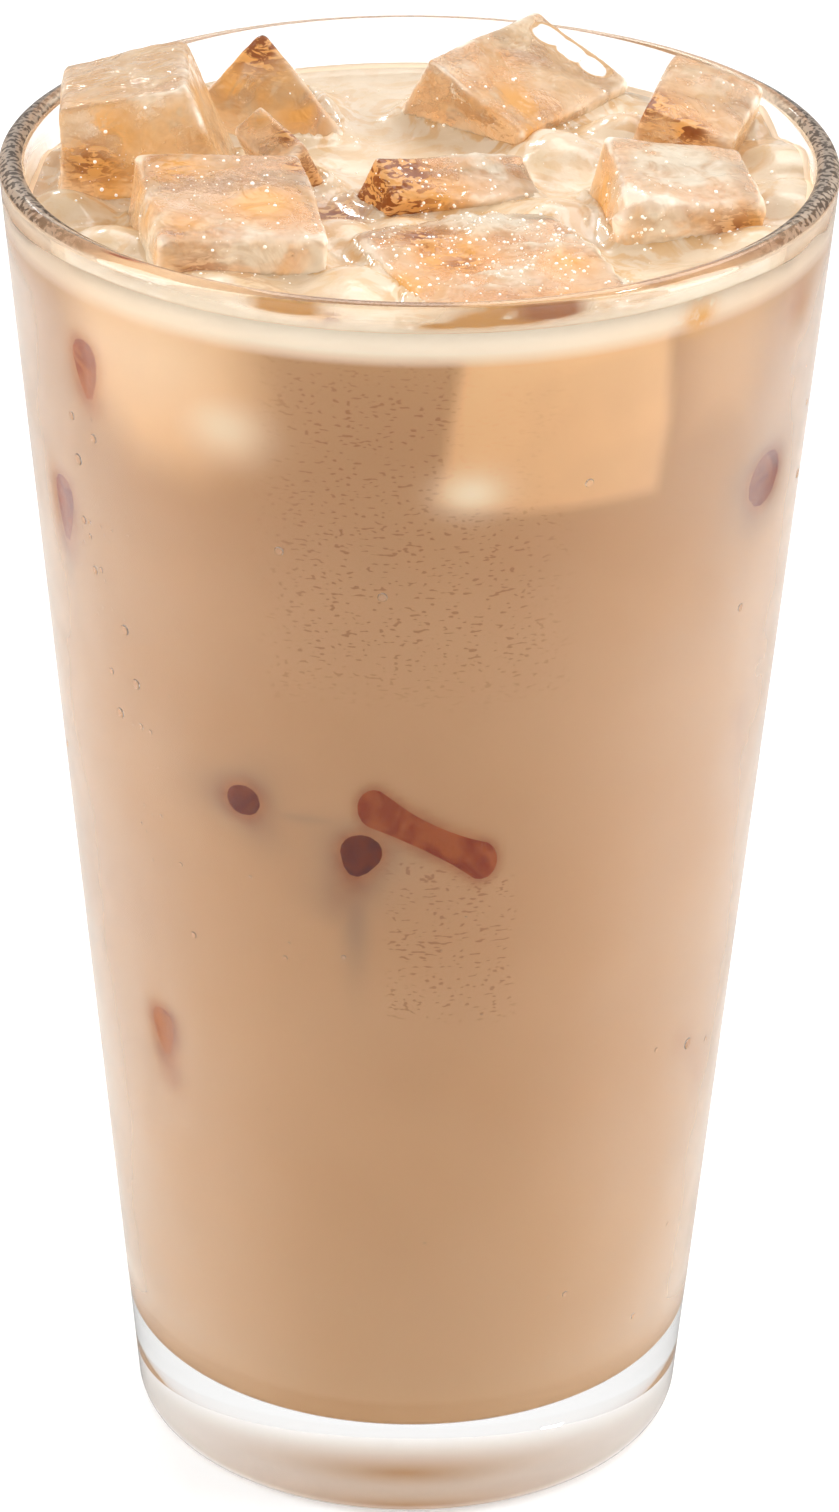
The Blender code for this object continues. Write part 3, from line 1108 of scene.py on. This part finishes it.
# %% Drink finishes
def behind_glass_finish():
    material, tree, shader = new_material(
        "coffee_behind_glass", emission=1.0, roughness=0.6, specular=0.0)
    wash = cloudy(tree, 32.0, 0.3, 0.7)
    dashes = cloudy(tree, 3400.0, 0.66, 0.73, detail=0.0, stretch=(0.42, 0.42, 1.0))
    speckled = times(tree, attribute(tree, "speckle"), 0.60)
    lit = scaled(tree, cloudy(tree, 60.0, 0.3, 0.7), 0.35, 0.65)
    glow = times(tree, attribute(tree, "glow"), lit)
    fine = cloudy(tree, 260.0, 0.35, 0.65)
    deep = blend_colour(tree, fine, (0.46, 0.15, 0.05), (0.62, 0.26, 0.10))
    painted_light_spot = attribute(tree, "painted_light_spot")
    meniscus = attribute(tree, "meniscus")
    spot = times(tree, attribute(tree, "golden_spot"), cloudy(tree, 700.0, 0.3, 0.5))
    rest = times(tree, attribute(tree, "floor_edge_brown"), cloudy(tree, 420.0, 0.35, 0.55))
    under = attribute(tree, "under")
    # painted shade: the gloom, grey veils and dark contact shade; painted light: the glow and bright
    # spots of lit ice, and the pale underside
    side = layered(
        tree, blend_colour(tree, wash, (0.765, 0.444, 0.225), (0.815, 0.50, 0.27)),
        (times(tree, attribute(tree, "gloom"), 0.42), (0.60, 0.32, 0.14)),
        (times(tree, dashes, speckled), (0.48, 0.19, 0.07)),
        (attribute(tree, "low"), (0.86, 0.55, 0.30)),
        (times(tree, attribute(tree, "grey_shade"), 0.75), (0.42, 0.29, 0.20)),
        (glow, (0.98, 0.66, 0.36)),
        (painted_light_spot, (1.0, 0.95, 0.80)),
        (attribute(tree, "shade"), deep),
        (meniscus, (0.97, 0.86, 0.70)),
        (spot, (0.86, 0.46, 0.14)),
        (rest, (0.22, 0.07, 0.02)),
        (under, (0.97, 0.96, 0.95)))
    tree.links.new(side, shader.inputs["Base Color"])
    # painted light: the finish's own light, where lit ice glows behind the wall, at its bright
    # spots, in the cream band, in the golden spot and on the underside
    light = layered(
        tree, blend_colour(tree, under, (0.0, 0.0, 0.0), (0.36, 0.36, 0.35)),
        (glow, (0.22, 0.105, 0.035)), (painted_light_spot, (0.26, 0.15, 0.05)),
        (meniscus, (0.26, 0.20, 0.14)), (spot, (0.10, 0.04, 0.01)))
    tree.links.new(light, shader.inputs["Emission Color"])
    return material


def coffee_specks(tree):
    """Fine grains of coffee, a little taller than wide."""
    return cloudy(tree, 900.0, 0.45, 0.53, detail=5.0, stretch=(0.6, 0.8, 1.6), swirl=1.0)


def open_surface_finish():
    """Froth in the open; in a hollow, marbled milk round the ice, which glows with painted light for
    the light that seeps through the ice.
    """
    material, tree, shader = new_material("coffee_surface", emission=0.40)
    mottle = cloudy(tree, 120.0, 0.35, 0.7, swirl=1.0)
    streaks = cloudy(tree, 300.0, 0.35, 0.55, detail=5.0, swirl=1.5)
    swirls = cloudy(tree, 150.0, 0.46, 0.60, detail=5.0, swirl=2.5)
    brown = attribute(tree, "brown")
    froth = layered(
        tree, blend_colour(tree, mottle, colour(225, 204, 177), colour(215, 188, 152)),
        (times(tree, attribute(tree, "by_ice"), swirls), (0.64, 0.38, 0.165)),
        (times(tree, attribute(tree, "golden"), streaks), (0.66, 0.34, 0.10)),
        (times(tree, brown, 0.8), (0.62, 0.30, 0.08)),
        (times(tree, brown, coffee_specks(tree)), (0.25, 0.07, 0.015)))
    marble = cloudy(tree, 110.0, 0.38, 0.60, detail=5.0)
    dark_veins = cloudy(tree, 170.0, 0.56, 0.68, detail=5.0)
    around = layered(
        tree, blend_colour(tree, marble, (0.92, 0.76, 0.56), (0.80, 0.50, 0.24)),
        (times(tree, dark_veins, 0.8), (0.42, 0.17, 0.05)))
    hollow = attribute(tree, "hollow")
    tree.links.new(blend_colour(tree, hollow, froth, around), shader.inputs["Base Color"])
    # painted light: marbled milk in the hollows glows with its own colour
    seep = blend_colour(tree, hollow, (0.0, 0.0, 0.0), around)
    tree.links.new(seep, shader.inputs["Emission Color"])
    wet = cloudy(tree, 90.0, 0.3, 0.7)
    feed(tree, shader.inputs["Roughness"], scaled(tree, wet, 0.1, 0.12))
    roughen(tree, shader, cloudy(tree, 500.0, 0.35, 0.65), 0.03 * MM)
    return material


def paint_sides(drink):
    """The first finish for faces in the open, the second for those against the wall."""
    mesh = drink.data
    mesh.materials.clear()
    mesh.materials.append(open_surface_finish())
    mesh.materials.append(behind_glass_finish())
    points = points_of(drink)
    wall_radius = inner_radius(np.maximum(points[:, 2], floor_ring))
    wall = np.hypot(points[:, 0], points[:, 1]) > wall_radius - AT_WALL
    wall |= points[:, 2] < floor_ring
    starts = read_all(mesh.polygons, "loop_start", int)
    counts = read_all(mesh.polygons, "loop_total", int)
    corners = read_all(mesh.loops, "vertex_index", int)
    touching = np.add.reduceat(wall[corners].astype(int), starts)
    height = np.minimum.reduceat(points[corners, 2], starts)
    on_side = (touching == counts) | ((touching > 0) & (height > LEVEL))
    mesh.polygons.foreach_set("material_index", on_side.astype(np.int32))


latte = turned("latte", drink_profile(), DRINK_STEPS, None)
lift_round_ice(latte, list(ice_trees.values()))
cut_hollows(latte)
describe_surroundings(latte)
paint_sides(latte)
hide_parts("drink")
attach(latte, BODY)
print("latte:", len(latte.data.polygons), "faces after the hollows are cut")

# %% [markdown]
# ## Milk film on the ice
#
# Milk clings to the wet ice: thick at the waterline, along the edges, and in
# patches on the faces. It is a thin copy of each cube's upper skin, lifted by a
# hair, and its finish is see-through where the film is thin. Numbers on its
# points say where the edges are: smoothing a copy pulls it in there the most.
# The pale edges are also a painted highlight, the steep sides glow with painted
# light, and one pale facet is a painted highlight.

# %% Milk film
FILM_LIFT = 0.05 * MM
EDGE_DEPTH = 0.20 * MM
EDGE_SMOOTHING = 12             # rounds of smoothing that pull the edges in
EDGE_SPREAD = 2                 # steps by which the white of an edge widens


def edge_strength(obj):
    """How convex the skin is at each point, from 0 on a flat face to 1 on an edge."""
    pairs = read_all(obj.data.edges, "vertices", int, 2)
    first, second = pairs.reshape(-1, 2).T
    count = np.bincount(pairs, minlength=len(obj.data.vertices))

    def neighbours_mean(values):
        total = np.zeros_like(values)
        np.add.at(total, first, values[second])
        np.add.at(total, second, values[first])
        return (total.T / count).T

    points = points_of(obj)
    smooth = points
    for _ in range(EDGE_SMOOTHING):
        smooth = neighbours_mean(smooth)
    strength = np.clip(((points - smooth) * normals_of(obj)).sum(1) / EDGE_DEPTH, 0, 1)
    for _ in range(EDGE_SPREAD):
        strength = np.maximum(strength, neighbours_mean(strength))
    return strength


FROTH_PLACES = (
    # where froth stands on the ice: x, y, z, reach, height, all mm
    (6.0, -14.0, 148.5, 6.0, 1.5), (14.0, -20.0, 148.0, 6.0, 1.3), (8.0, -27.0, 147.5, 6.0, 1.2),
    (-1.0, -19.0, 148.0, 4.5, 1.3), (22.0, -13.0, 149.5, 5.0, 1.3), (31.0, -8.0, 151.0, 4.0, 1.0),
    (-19.0, -26.0, 149.5, 5.0, 1.0), (-28.0, -20.0, 149.0, 4.0, 1.0), (7.0, 0.0, 150.5, 4.5, 0.9),
    (-36.5, -5.0, 148.0, 3.5, 1.0), (33.0, 14.0, 155.0, 4.0, 0.8),
)


def froth_lift(points):
    """How far the froth stands off the ice: lumpy, and nothing away from its places."""
    lift = soft_places(points, FROTH_PLACES) * MM
    for i in np.flatnonzero(lift > 0.05 * MM):
        place = Vector(points[i])
        lumps = 0.55 + 0.45 * noise.noise(place * 420.0) + 0.35 * noise.noise(place * 900.0)
        lift[i] *= max(lumps, 0.0)
    return lift


def delete_faces(obj, unwanted):
    shape = bmesh.new()
    shape.from_mesh(obj.data)
    away = [face for face in shape.faces if unwanted(face)]
    bmesh.ops.delete(shape, geom=away, context="FACES")
    shape.to_mesh(obj.data)
    shape.free()


def film_over(cube):
    """The part of a cube's skin above the drink, lifted a little."""
    film = new_object(cube.name.replace("cube", "film"), cube.data.copy())
    store(film, "edge", edge_strength(film))
    lift = froth_lift(points_of(film))
    store(film, "froth", lift / (0.8 * MM))
    move_points(film, points_of(film) + normals_of(film) * (FILM_LIFT + lift)[:, None])
    delete_faces(film, lambda face: face.calc_center_median().z < LEVEL - 1.0 * MM)
    points = points_of(film)
    store(film, "waterline", np.exp(-np.maximum(points[:, 2] - LEVEL, 0) / (2.2 * MM)))
    store(film, "steep", 1 - np.abs(normals_of(film)[:, 2]))
    for tone, places in STAINS.items():
        store(film, tone, soft_places(points, places))
    return film


def milk_film_finish():
    """Marbled paints, with painted light of their own on steep sides, for the light that seeps
    through the ice.
    """
    material, tree, shader = new_material("milk_film", emission=0.45, roughness=0.07, specular=0.25)
    clouds = cloudy(tree, 150.0, 0.28, 0.52, detail=4.0, swirl=1.5)
    golden = times(tree, attribute(tree, "golden"), clouds)
    # painted light: steep sides turn golden and glow, as if lit through the ice
    glowing = times(tree, times(tree, attribute(tree, "steep"), 0.6), clouds)
    brown = attribute(tree, "brown")
    specks = times(tree, brown, coffee_specks(tree))
    wisps = times(tree, cloudy(tree, 260.0, 0.54, 0.64, detail=6.0, swirl=2.0), 0.45)
    # pale along the edges: milk that clings there, and a painted highlight on the rounded edges
    edges = arithmetic(tree, "POWER", attribute(tree, "edge"), 2.0)
    edges = times(tree, edges, cloudy(tree, 150.0, 0.34, 0.54))
    puffs = cloudy(tree, 200.0, 0.2, 0.6, swirl=1.0)
    low = times(tree, attribute(tree, "waterline"), puffs)
    cream = times(tree, attribute(tree, "cream"), puffs)
    froth = times(tree, attribute(tree, "froth"), cloudy(tree, 300.0, 0.25, 0.5, swirl=1.0))
    foam = larger(tree, froth, low, cream)
    # painted highlight: a pale facet with a brown outline, where the white places lie
    white = attribute(tree, "white")
    outline = times(tree, arithmetic(tree, "SUBTRACT", white, 0.32), 12.0)
    whitest = arithmetic(tree, "SUBTRACT", white, 0.42)
    inner = arithmetic(tree, "SUBTRACT", whitest, attribute(tree, "edge"))
    marble = cloudy(tree, 110.0, 0.35, 0.62, detail=5.0, swirl=1.5)
    milk = layered(
        tree, blend_colour(tree, marble, (0.47, 0.285, 0.13), (0.55, 0.41, 0.255)),
        (wisps, (0.66, 0.54, 0.38)),
        (glowing, (0.76, 0.42, 0.15)),
        (foam, (0.62, 0.525, 0.395)),
        (edges, (0.84, 0.75, 0.62)),
        (golden, (0.66, 0.33, 0.09)),
        (times(tree, brown, 0.85), (0.64, 0.29, 0.07)),
        (specks, (0.22, 0.060, 0.012)),
        (outline, (0.50, 0.30, 0.14)),
        (times(tree, inner, 12.0), (0.84, 0.84, 0.82)))
    tree.links.new(milk, shader.inputs["Base Color"])
    seeping = larger(tree, attribute(tree, "steep"), times(tree, golden, 0.2))
    seeped = blend_colour(tree, seeping, (0.0, 0.0, 0.0), milk)
    tree.links.new(seeped, shader.inputs["Emission Color"])
    thick = scaled(tree, cloudy(tree, 120.0, 0.36, 0.66, detail=5.0, swirl=1.5), 0.45, 0.30)
    thick = larger(tree, thick, foam, edges, brown, outline)
    thick = arithmetic(tree, "MINIMUM", thick, 1.0)
    thick = larger(tree, thick, times(tree, larger(tree, golden, glowing), 0.85))
    feed(tree, shader.inputs["Alpha"], times(tree, thick, 0.95))
    roughen(tree, shader, cloudy(tree, 190.0, 0.3, 0.7, swirl=1.0), 0.20 * MM)
    return material


milk_film = joined([film_over(cube) for cube in cubes.values()], "milk_film")
milk_film.data.materials.clear()
milk_film.data.materials.append(milk_film_finish())
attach(milk_film, BODY)
print("milk film:", len(milk_film.data.polygons), "faces")

# %% [markdown]
# ## Scattered drops
#
# Bubbles on the ice and dew on the glass are the same thing to Blender: small
# flattened balls strewn over a surface. One tree does it, and a number on the
# surface's points, "spread", says where they gather.

# %% Tree: scatter drops
def scattering_tree():
    tree = bpy.data.node_groups.new("Scatter drops", "GeometryNodeTree")
    tree.is_modifier = True
    give_sockets(tree, "INPUT", Surface="Geometry", Drops_per_square_metre="Float", Smallest="Float",
                 Largest="Float", Thickness="Float", Seed="Int", Finish="Material")
    give_sockets(tree, "OUTPUT", Drops="Geometry")
    given = add(tree, "NodeGroupInput")
    spread = add(tree, "GeometryNodeInputNamedAttribute", data_type="FLOAT")
    spread.inputs["Name"].default_value = "spread"
    strew = add(tree, "GeometryNodeDistributePointsOnFaces", distribute_method="RANDOM")
    tree.links.new(given.outputs["Surface"], strew.inputs["Mesh"])
    feed(tree, strew.inputs["Density"], arithmetic(
        tree, "MULTIPLY", spread.outputs["Attribute"], given.outputs["Drops per square metre"]))
    tree.links.new(given.outputs["Seed"], strew.inputs["Seed"])
    size = add(tree, "FunctionNodeRandomValue", data_type="FLOAT")
    feed(tree, size.inputs[2], 0.0)
    feed(tree, size.inputs[3], 1.0)
    tree.links.new(given.outputs["Seed"], size.inputs["Seed"])
    chance = arithmetic(tree, "POWER", size.outputs[1], 3.0)
    extra = arithmetic(tree, "SUBTRACT", given.outputs["Largest"], given.outputs["Smallest"])
    radius = scaled(tree, chance, extra, given.outputs["Smallest"])
    scale = add(tree, "ShaderNodeCombineXYZ")
    feed(tree, scale.inputs["X"], radius)
    feed(tree, scale.inputs["Y"], radius)
    feed(tree, scale.inputs["Z"], times(tree, radius, given.outputs["Thickness"]))
    ball = add(tree, "GeometryNodeMeshUVSphere")
    ball.inputs["Segments"].default_value = 10
    ball.inputs["Rings"].default_value = 6
    ball.inputs["Radius"].default_value = 1.0
    place = add(tree, "GeometryNodeInstanceOnPoints")
    tree.links.new(strew.outputs["Points"], place.inputs["Points"])
    tree.links.new(ball.outputs["Mesh"], place.inputs["Instance"])
    tree.links.new(strew.outputs["Rotation"], place.inputs["Rotation"])
    tree.links.new(scale.outputs[0], place.inputs["Scale"])
    realize = add(tree, "GeometryNodeRealizeInstances")
    smooth = add(tree, "GeometryNodeSetShadeSmooth")
    finish = add(tree, "GeometryNodeSetMaterial")
    tree.links.new(given.outputs["Finish"], finish.inputs["Material"])
    chain(tree, place, realize, smooth, finish, add(tree, "NodeGroupOutput"))
    return tree


SCATTERING = scattering_tree()


def drops_on(surface, name, density, smallest, largest, thickness, seed, material):
    """Drops strewn over a surface with a "spread" number; the surface itself goes."""
    scatter = surface.modifiers.new("Scatter", "NODES")
    scatter.node_group = SCATTERING
    set_inputs(scatter, Drops_per_square_metre=density, Smallest=smallest, Largest=largest,
               Thickness=thickness, Seed=seed, Finish=material)
    settle(surface)
    surface.name = name
    surface.data.name = name
    print(name, "has", len(surface.data.polygons), "faces")
    return surface


# %% Bubbles on the ice
def bubble_finish():
    # the beads are real bubbles, made white and given light of their own: painted light, so they
    # read as glints on the froth
    material, tree, shader = new_material("milk_bubbles", emission=0.25, ior=1.33)
    tint = blend_colour(tree, cloudy(tree, 400.0, 0.4, 0.6), (1.0, 0.97, 0.92), (1.0, 0.90, 0.76))
    tree.links.new(tint, shader.inputs["Base Color"])
    tree.links.new(tint, shader.inputs["Emission Color"])
    wet = cloudy(tree, 300.0, 0.4, 0.6)
    feed(tree, shader.inputs["Roughness"], times(tree, wet, 0.06))
    return material


BUBBLE_FIELDS = {
    # where bubbles crowd on the ice: x, y, z and reach in mm, and how many
    "front_froth": (7.0, -20.0, 148.0, 12.0, 0.75),
    "front_right_foam": (22.0, -14.0, 150.0, 7.0, 0.5),
    "front_left_top": (-19.0, -17.0, 153.0, 8.0, 0.35),
    "left_front": (-33.0, -4.0, 152.0, 4.0, 0.4),
    "peak_side": (-11.0, 20.0, 152.0, 4.0, 0.3),
    "back_front": (6.0, 18.0, 153.0, 6.0, 0.15),
    "middle_top": (3.0, -4.0, 149.0, 7.0, 0.5),
    "right_top": (30.0, 12.0, 155.0, 6.0, 0.15),
}


def open_milk():
    """A copy of the drink's open surface, with crowding near the ice."""
    ground = new_object("foam_ground", latte.data.copy())
    reach = inner_radius(LEVEL) - 0.3 * MM
    delete_faces(ground, lambda face: face.normal.z < 0.35
                 or face.calc_center_median().z < LEVEL - 0.1 * MM
                 or face.calc_center_median().to_2d().length > reach)
    points = points_of(ground)
    close = np.array([way_to_ice(point, 9 * MM) for point in points])
    clumps = np.array([noise.noise(Vector(point) * 220.0) for point in points])
    store(ground, "spread", np.exp(-close / (1.8 * MM)) * np.clip(0.3 + 1.6 * clumps, 0, 1) * 0.5)
    return ground


skin = new_object("bubble_ground", milk_film.data.copy())
skin_points = points_of(skin)
spread = 0.10 * np.exp(-np.maximum(skin_points[:, 2] - LEVEL, 0) / (2.0 * MM))
store(skin, "spread", np.maximum(spread, soft_places(skin_points, BUBBLE_FIELDS.values())))
ground = joined([skin, open_milk()], "bubble_ground")
bubbles = drops_on(ground, "ice_bubbles", density=1.6e6, smallest=0.04 * MM, largest=0.24 * MM,
                   thickness=0.8, seed=11, material=bubble_finish())
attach(bubbles, BODY)

# %% [markdown]
# ## Milk on the wall above the drink
#
# Pouring leaves a film of milk on the inside of the wall above the level. It is
# a narrow turned band a hair inside the glass, clear at the back. Streaks of coffee
# in it are placed by their angle round the glass and their height.
# The band glows a little with painted light.

# %% Wall film
WALL_STREAKS = {
    # tone: round the glass, height mm, half width mm, half height mm, strength
    "golden": ((3.5, 149.3, 3.0, 0.45, 1.3), (8.5, 149.6, 3.8, 0.7, 1.7),
               (13.5, 149.9, 4.0, 0.9, 1.8), (-18.0, 150.1, 4.0, 0.5, 1.6),
               (33.0, 150.4, 4.0, 0.5, 1.2)),
    "brown": ((18.5, 150.2, 3.2, 0.9, 1.9), (22.5, 150.5, 2.0, 0.5, 1.4)),
}


def wall_film_finish():
    material, tree, shader = new_material("milk_on_wall", roughness=0.5, specular=0.0, emission=1.0)
    uneven = cloudy(tree, 520.0, 0.20, 0.42, detail=4.0, stretch=(0.4, 0.4, 2.0))
    golden = times(tree, attribute(tree, "golden"), uneven)
    brown = times(tree, attribute(tree, "brown"), uneven)
    milk = blend_colour(tree, golden, (0.92, 0.79, 0.61), (0.82, 0.38, 0.08))
    milk = blend_colour(tree, brown, milk, (0.46, 0.13, 0.015))
    tree.links.new(milk, shader.inputs["Base Color"])
    streaked = larger(tree, golden, brown)
    # painted light: the milk on the wall glows with light of its own, less where coffee streaks it
    light = blend_colour(tree, streaked, (0.15, 0.12, 0.085), (0.02, 0.01, 0.0))
    tree.links.new(light, shader.inputs["Emission Color"])
    thick = times(tree, attribute(tree, "film"), cloudy(tree, 90.0, 0.15, 0.5, detail=4.0))
    thick = larger(tree, thick, streaked)
    feed(tree, shader.inputs["Alpha"], arithmetic(tree, "MINIMUM", thick, 0.97))
    return material


def wall_band(name, radius_at, low, high, rows, steps, material):
    """An open turned band between two heights."""
    heights = [low + (high - low) * i / rows for i in range(rows + 1)]
    profile = [(radius_at(z), z) for z in heights]
    return turned(name, profile, steps, material)


WALL_FILM_LIFT = 0.06 * MM      # how far it stands off the wall
WALL_FILM_FOOT = LEVEL + 0.8 * MM
WALL_FILM_TOP = 150.9 * MM
wall_film = wall_band("milk_on_wall", lambda z: inner_radius(z) - WALL_FILM_LIFT,
                      WALL_FILM_FOOT, WALL_FILM_TOP, 30, DRINK_STEPS, wall_film_finish())
film_points = points_of(wall_film)
film_angle = angle_round(film_points)
film_height = (film_points[:, 2] - LEVEL) / MM
in_front = np.clip((115 - np.abs(film_angle)) / 30, 0, 1)
store(wall_film, "film", in_front * np.clip((4.4 - film_height) / 2.0, 0, 1) * 0.9)
for tone, streaks in WALL_STREAKS.items():
    store(wall_film, tone, wall_spots(film_points, streaks))
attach(wall_film, BODY)

# %% [markdown]
# ## Mist and dew on the cold glass
#
# Cold glass mists over. Seen edge-on the mist is thicker, which is why the sides
# of the drink look paler than its middle, so its alpha grows with Layer Weight.
# Dew gathers in a few places, as drops of clear water.

# %% Mist
def mist_finish():
    material, tree, shader = new_material("mist", roughness=0.7, specular=0.0)
    soft = blend_colour(tree, cloudy(tree, 60.0, 0.3, 0.7), (0.70, 0.69, 0.66), (0.78, 0.77, 0.74))
    tree.links.new(soft, shader.inputs["Base Color"])
    facing = add(tree, "ShaderNodeLayerWeight")
    facing.inputs["Blend"].default_value = 0.5
    grazing = arithmetic(tree, "POWER", facing.outputs["Facing"], 1.6)
    patchy = scaled(tree, cloudy(tree, 50.0, 0.3, 0.7), 0.15, 0.42)
    thick = times(tree, grazing, patchy)
    feed(tree, shader.inputs["Alpha"], times(tree, thick, attribute(tree, "cold")))
    return material


MIST_LIFT = 0.04 * MM           # how far it stands off the glass
MIST_FOOT = FLOOR_CENTRE + 1.5 * MM
MIST_TOP = 149.0 * MM
MIST_FADE = 6 * MM
MIST_GAPS = (
    # where ice leans on the wall the glass is wet and clear: spots as above
    (-53.2, 137.8, 1.8, 4.0, 0.75), (-65.5, 119.5, 1.8, 5.0, 0.75), (-49.0, 58.8, 1.8, 4.5, 0.75),
    (63.6, 122.8, 2.6, 3.2, 0.75), (65.7, 142.4, 3.0, 3.0, 0.75),
)

mist = wall_band("mist", lambda z: outer_radius(z) + MIST_LIFT, MIST_FOOT, MIST_TOP,
                 60, GLASS_STEPS, mist_finish())
mist_points = points_of(mist)
from_ends = np.minimum(mist_points[:, 2] - MIST_FOOT, MIST_TOP - mist_points[:, 2])
cold = np.clip(from_ends / MIST_FADE, 0, 1)
for gap in MIST_GAPS:
    cold *= 1 - wall_spots(mist_points, (gap,))
store(mist, "cold", cold)
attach(mist, BODY)

# %% Painted reflection on the rim
def rim_reflection_finish():
    # painted reflection: a grey-brown band with dark specks on the lip
    material, tree, shader = new_material("rim_dew", roughness=0.5, specular=0.2)
    drops = cloudy(tree, 1500.0, 0.48, 0.54, detail=2.0)
    tone = blend_colour(tree, drops, (0.34, 0.27, 0.21), (0.055, 0.034, 0.020))
    tree.links.new(tone, shader.inputs["Base Color"])
    thick = scaled(tree, drops, 0.15, 0.78)
    feed(tree, shader.inputs["Alpha"], times(tree, thick, attribute(tree, "damp")))
    return material


RIM_LIFT = 0.03 * MM
rim_arc = arc(outer_lip - LIP, lip_height, LIP + RIM_LIFT, 150, 20, 14)
rim_dew = turned("rim_dew", rim_arc, DRINK_STEPS, rim_reflection_finish())
# the painted reflection lies only on the lip's left and right sides
rim_angle = np.abs(angle_round(points_of(rim_dew)))
store(rim_dew, "damp", np.clip((rim_angle - 45) / 25, 0, 1) * np.clip((125 - rim_angle) / 25, 0, 1))
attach(rim_dew, BODY)

# %% Dew
LONE_DROPS = 0.012              # the share of drops that lie outside the patches
DEW_PATCHES = {
    # name: (round the glass, height mm, half width mm, half height mm, strength)
    "left_high": (-53.0, 122.0, 3.5, 10.0, 0.5),
    "left_middle": (-48.0, 105.0, 3.5, 12.0, 0.6),
    "left_low": (-45.0, 88.0, 3.5, 9.0, 0.4),
    "right": (58.0, 113.0, 3.0, 7.0, 0.5),
    "behind": (150.0, 100.0, 8.0, 20.0, 0.4),
}


def water_finish():
    material, tree, shader = new_material("dew", transmission=1.0, ior=1.33, roughness=0.0)
    tint = blend_colour(tree, cloudy(tree, 200.0, 0.4, 0.6), (1.0, 1.0, 1.0), (0.98, 0.99, 1.0))
    tree.links.new(tint, shader.inputs["Base Color"])
    return material


dew_ground = wall_band("dew_ground", outer_radius, 20 * MM, 140 * MM, 80, GLASS_STEPS, None)
dew_points = points_of(dew_ground)
store(dew_ground, "spread", np.maximum(wall_spots(dew_points, DEW_PATCHES.values()), LONE_DROPS))
dew = drops_on(dew_ground, "dew", density=2.2e5, smallest=0.12 * MM, largest=0.75 * MM,
               thickness=0.35, seed=5, material=water_finish())
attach(dew, BODY)
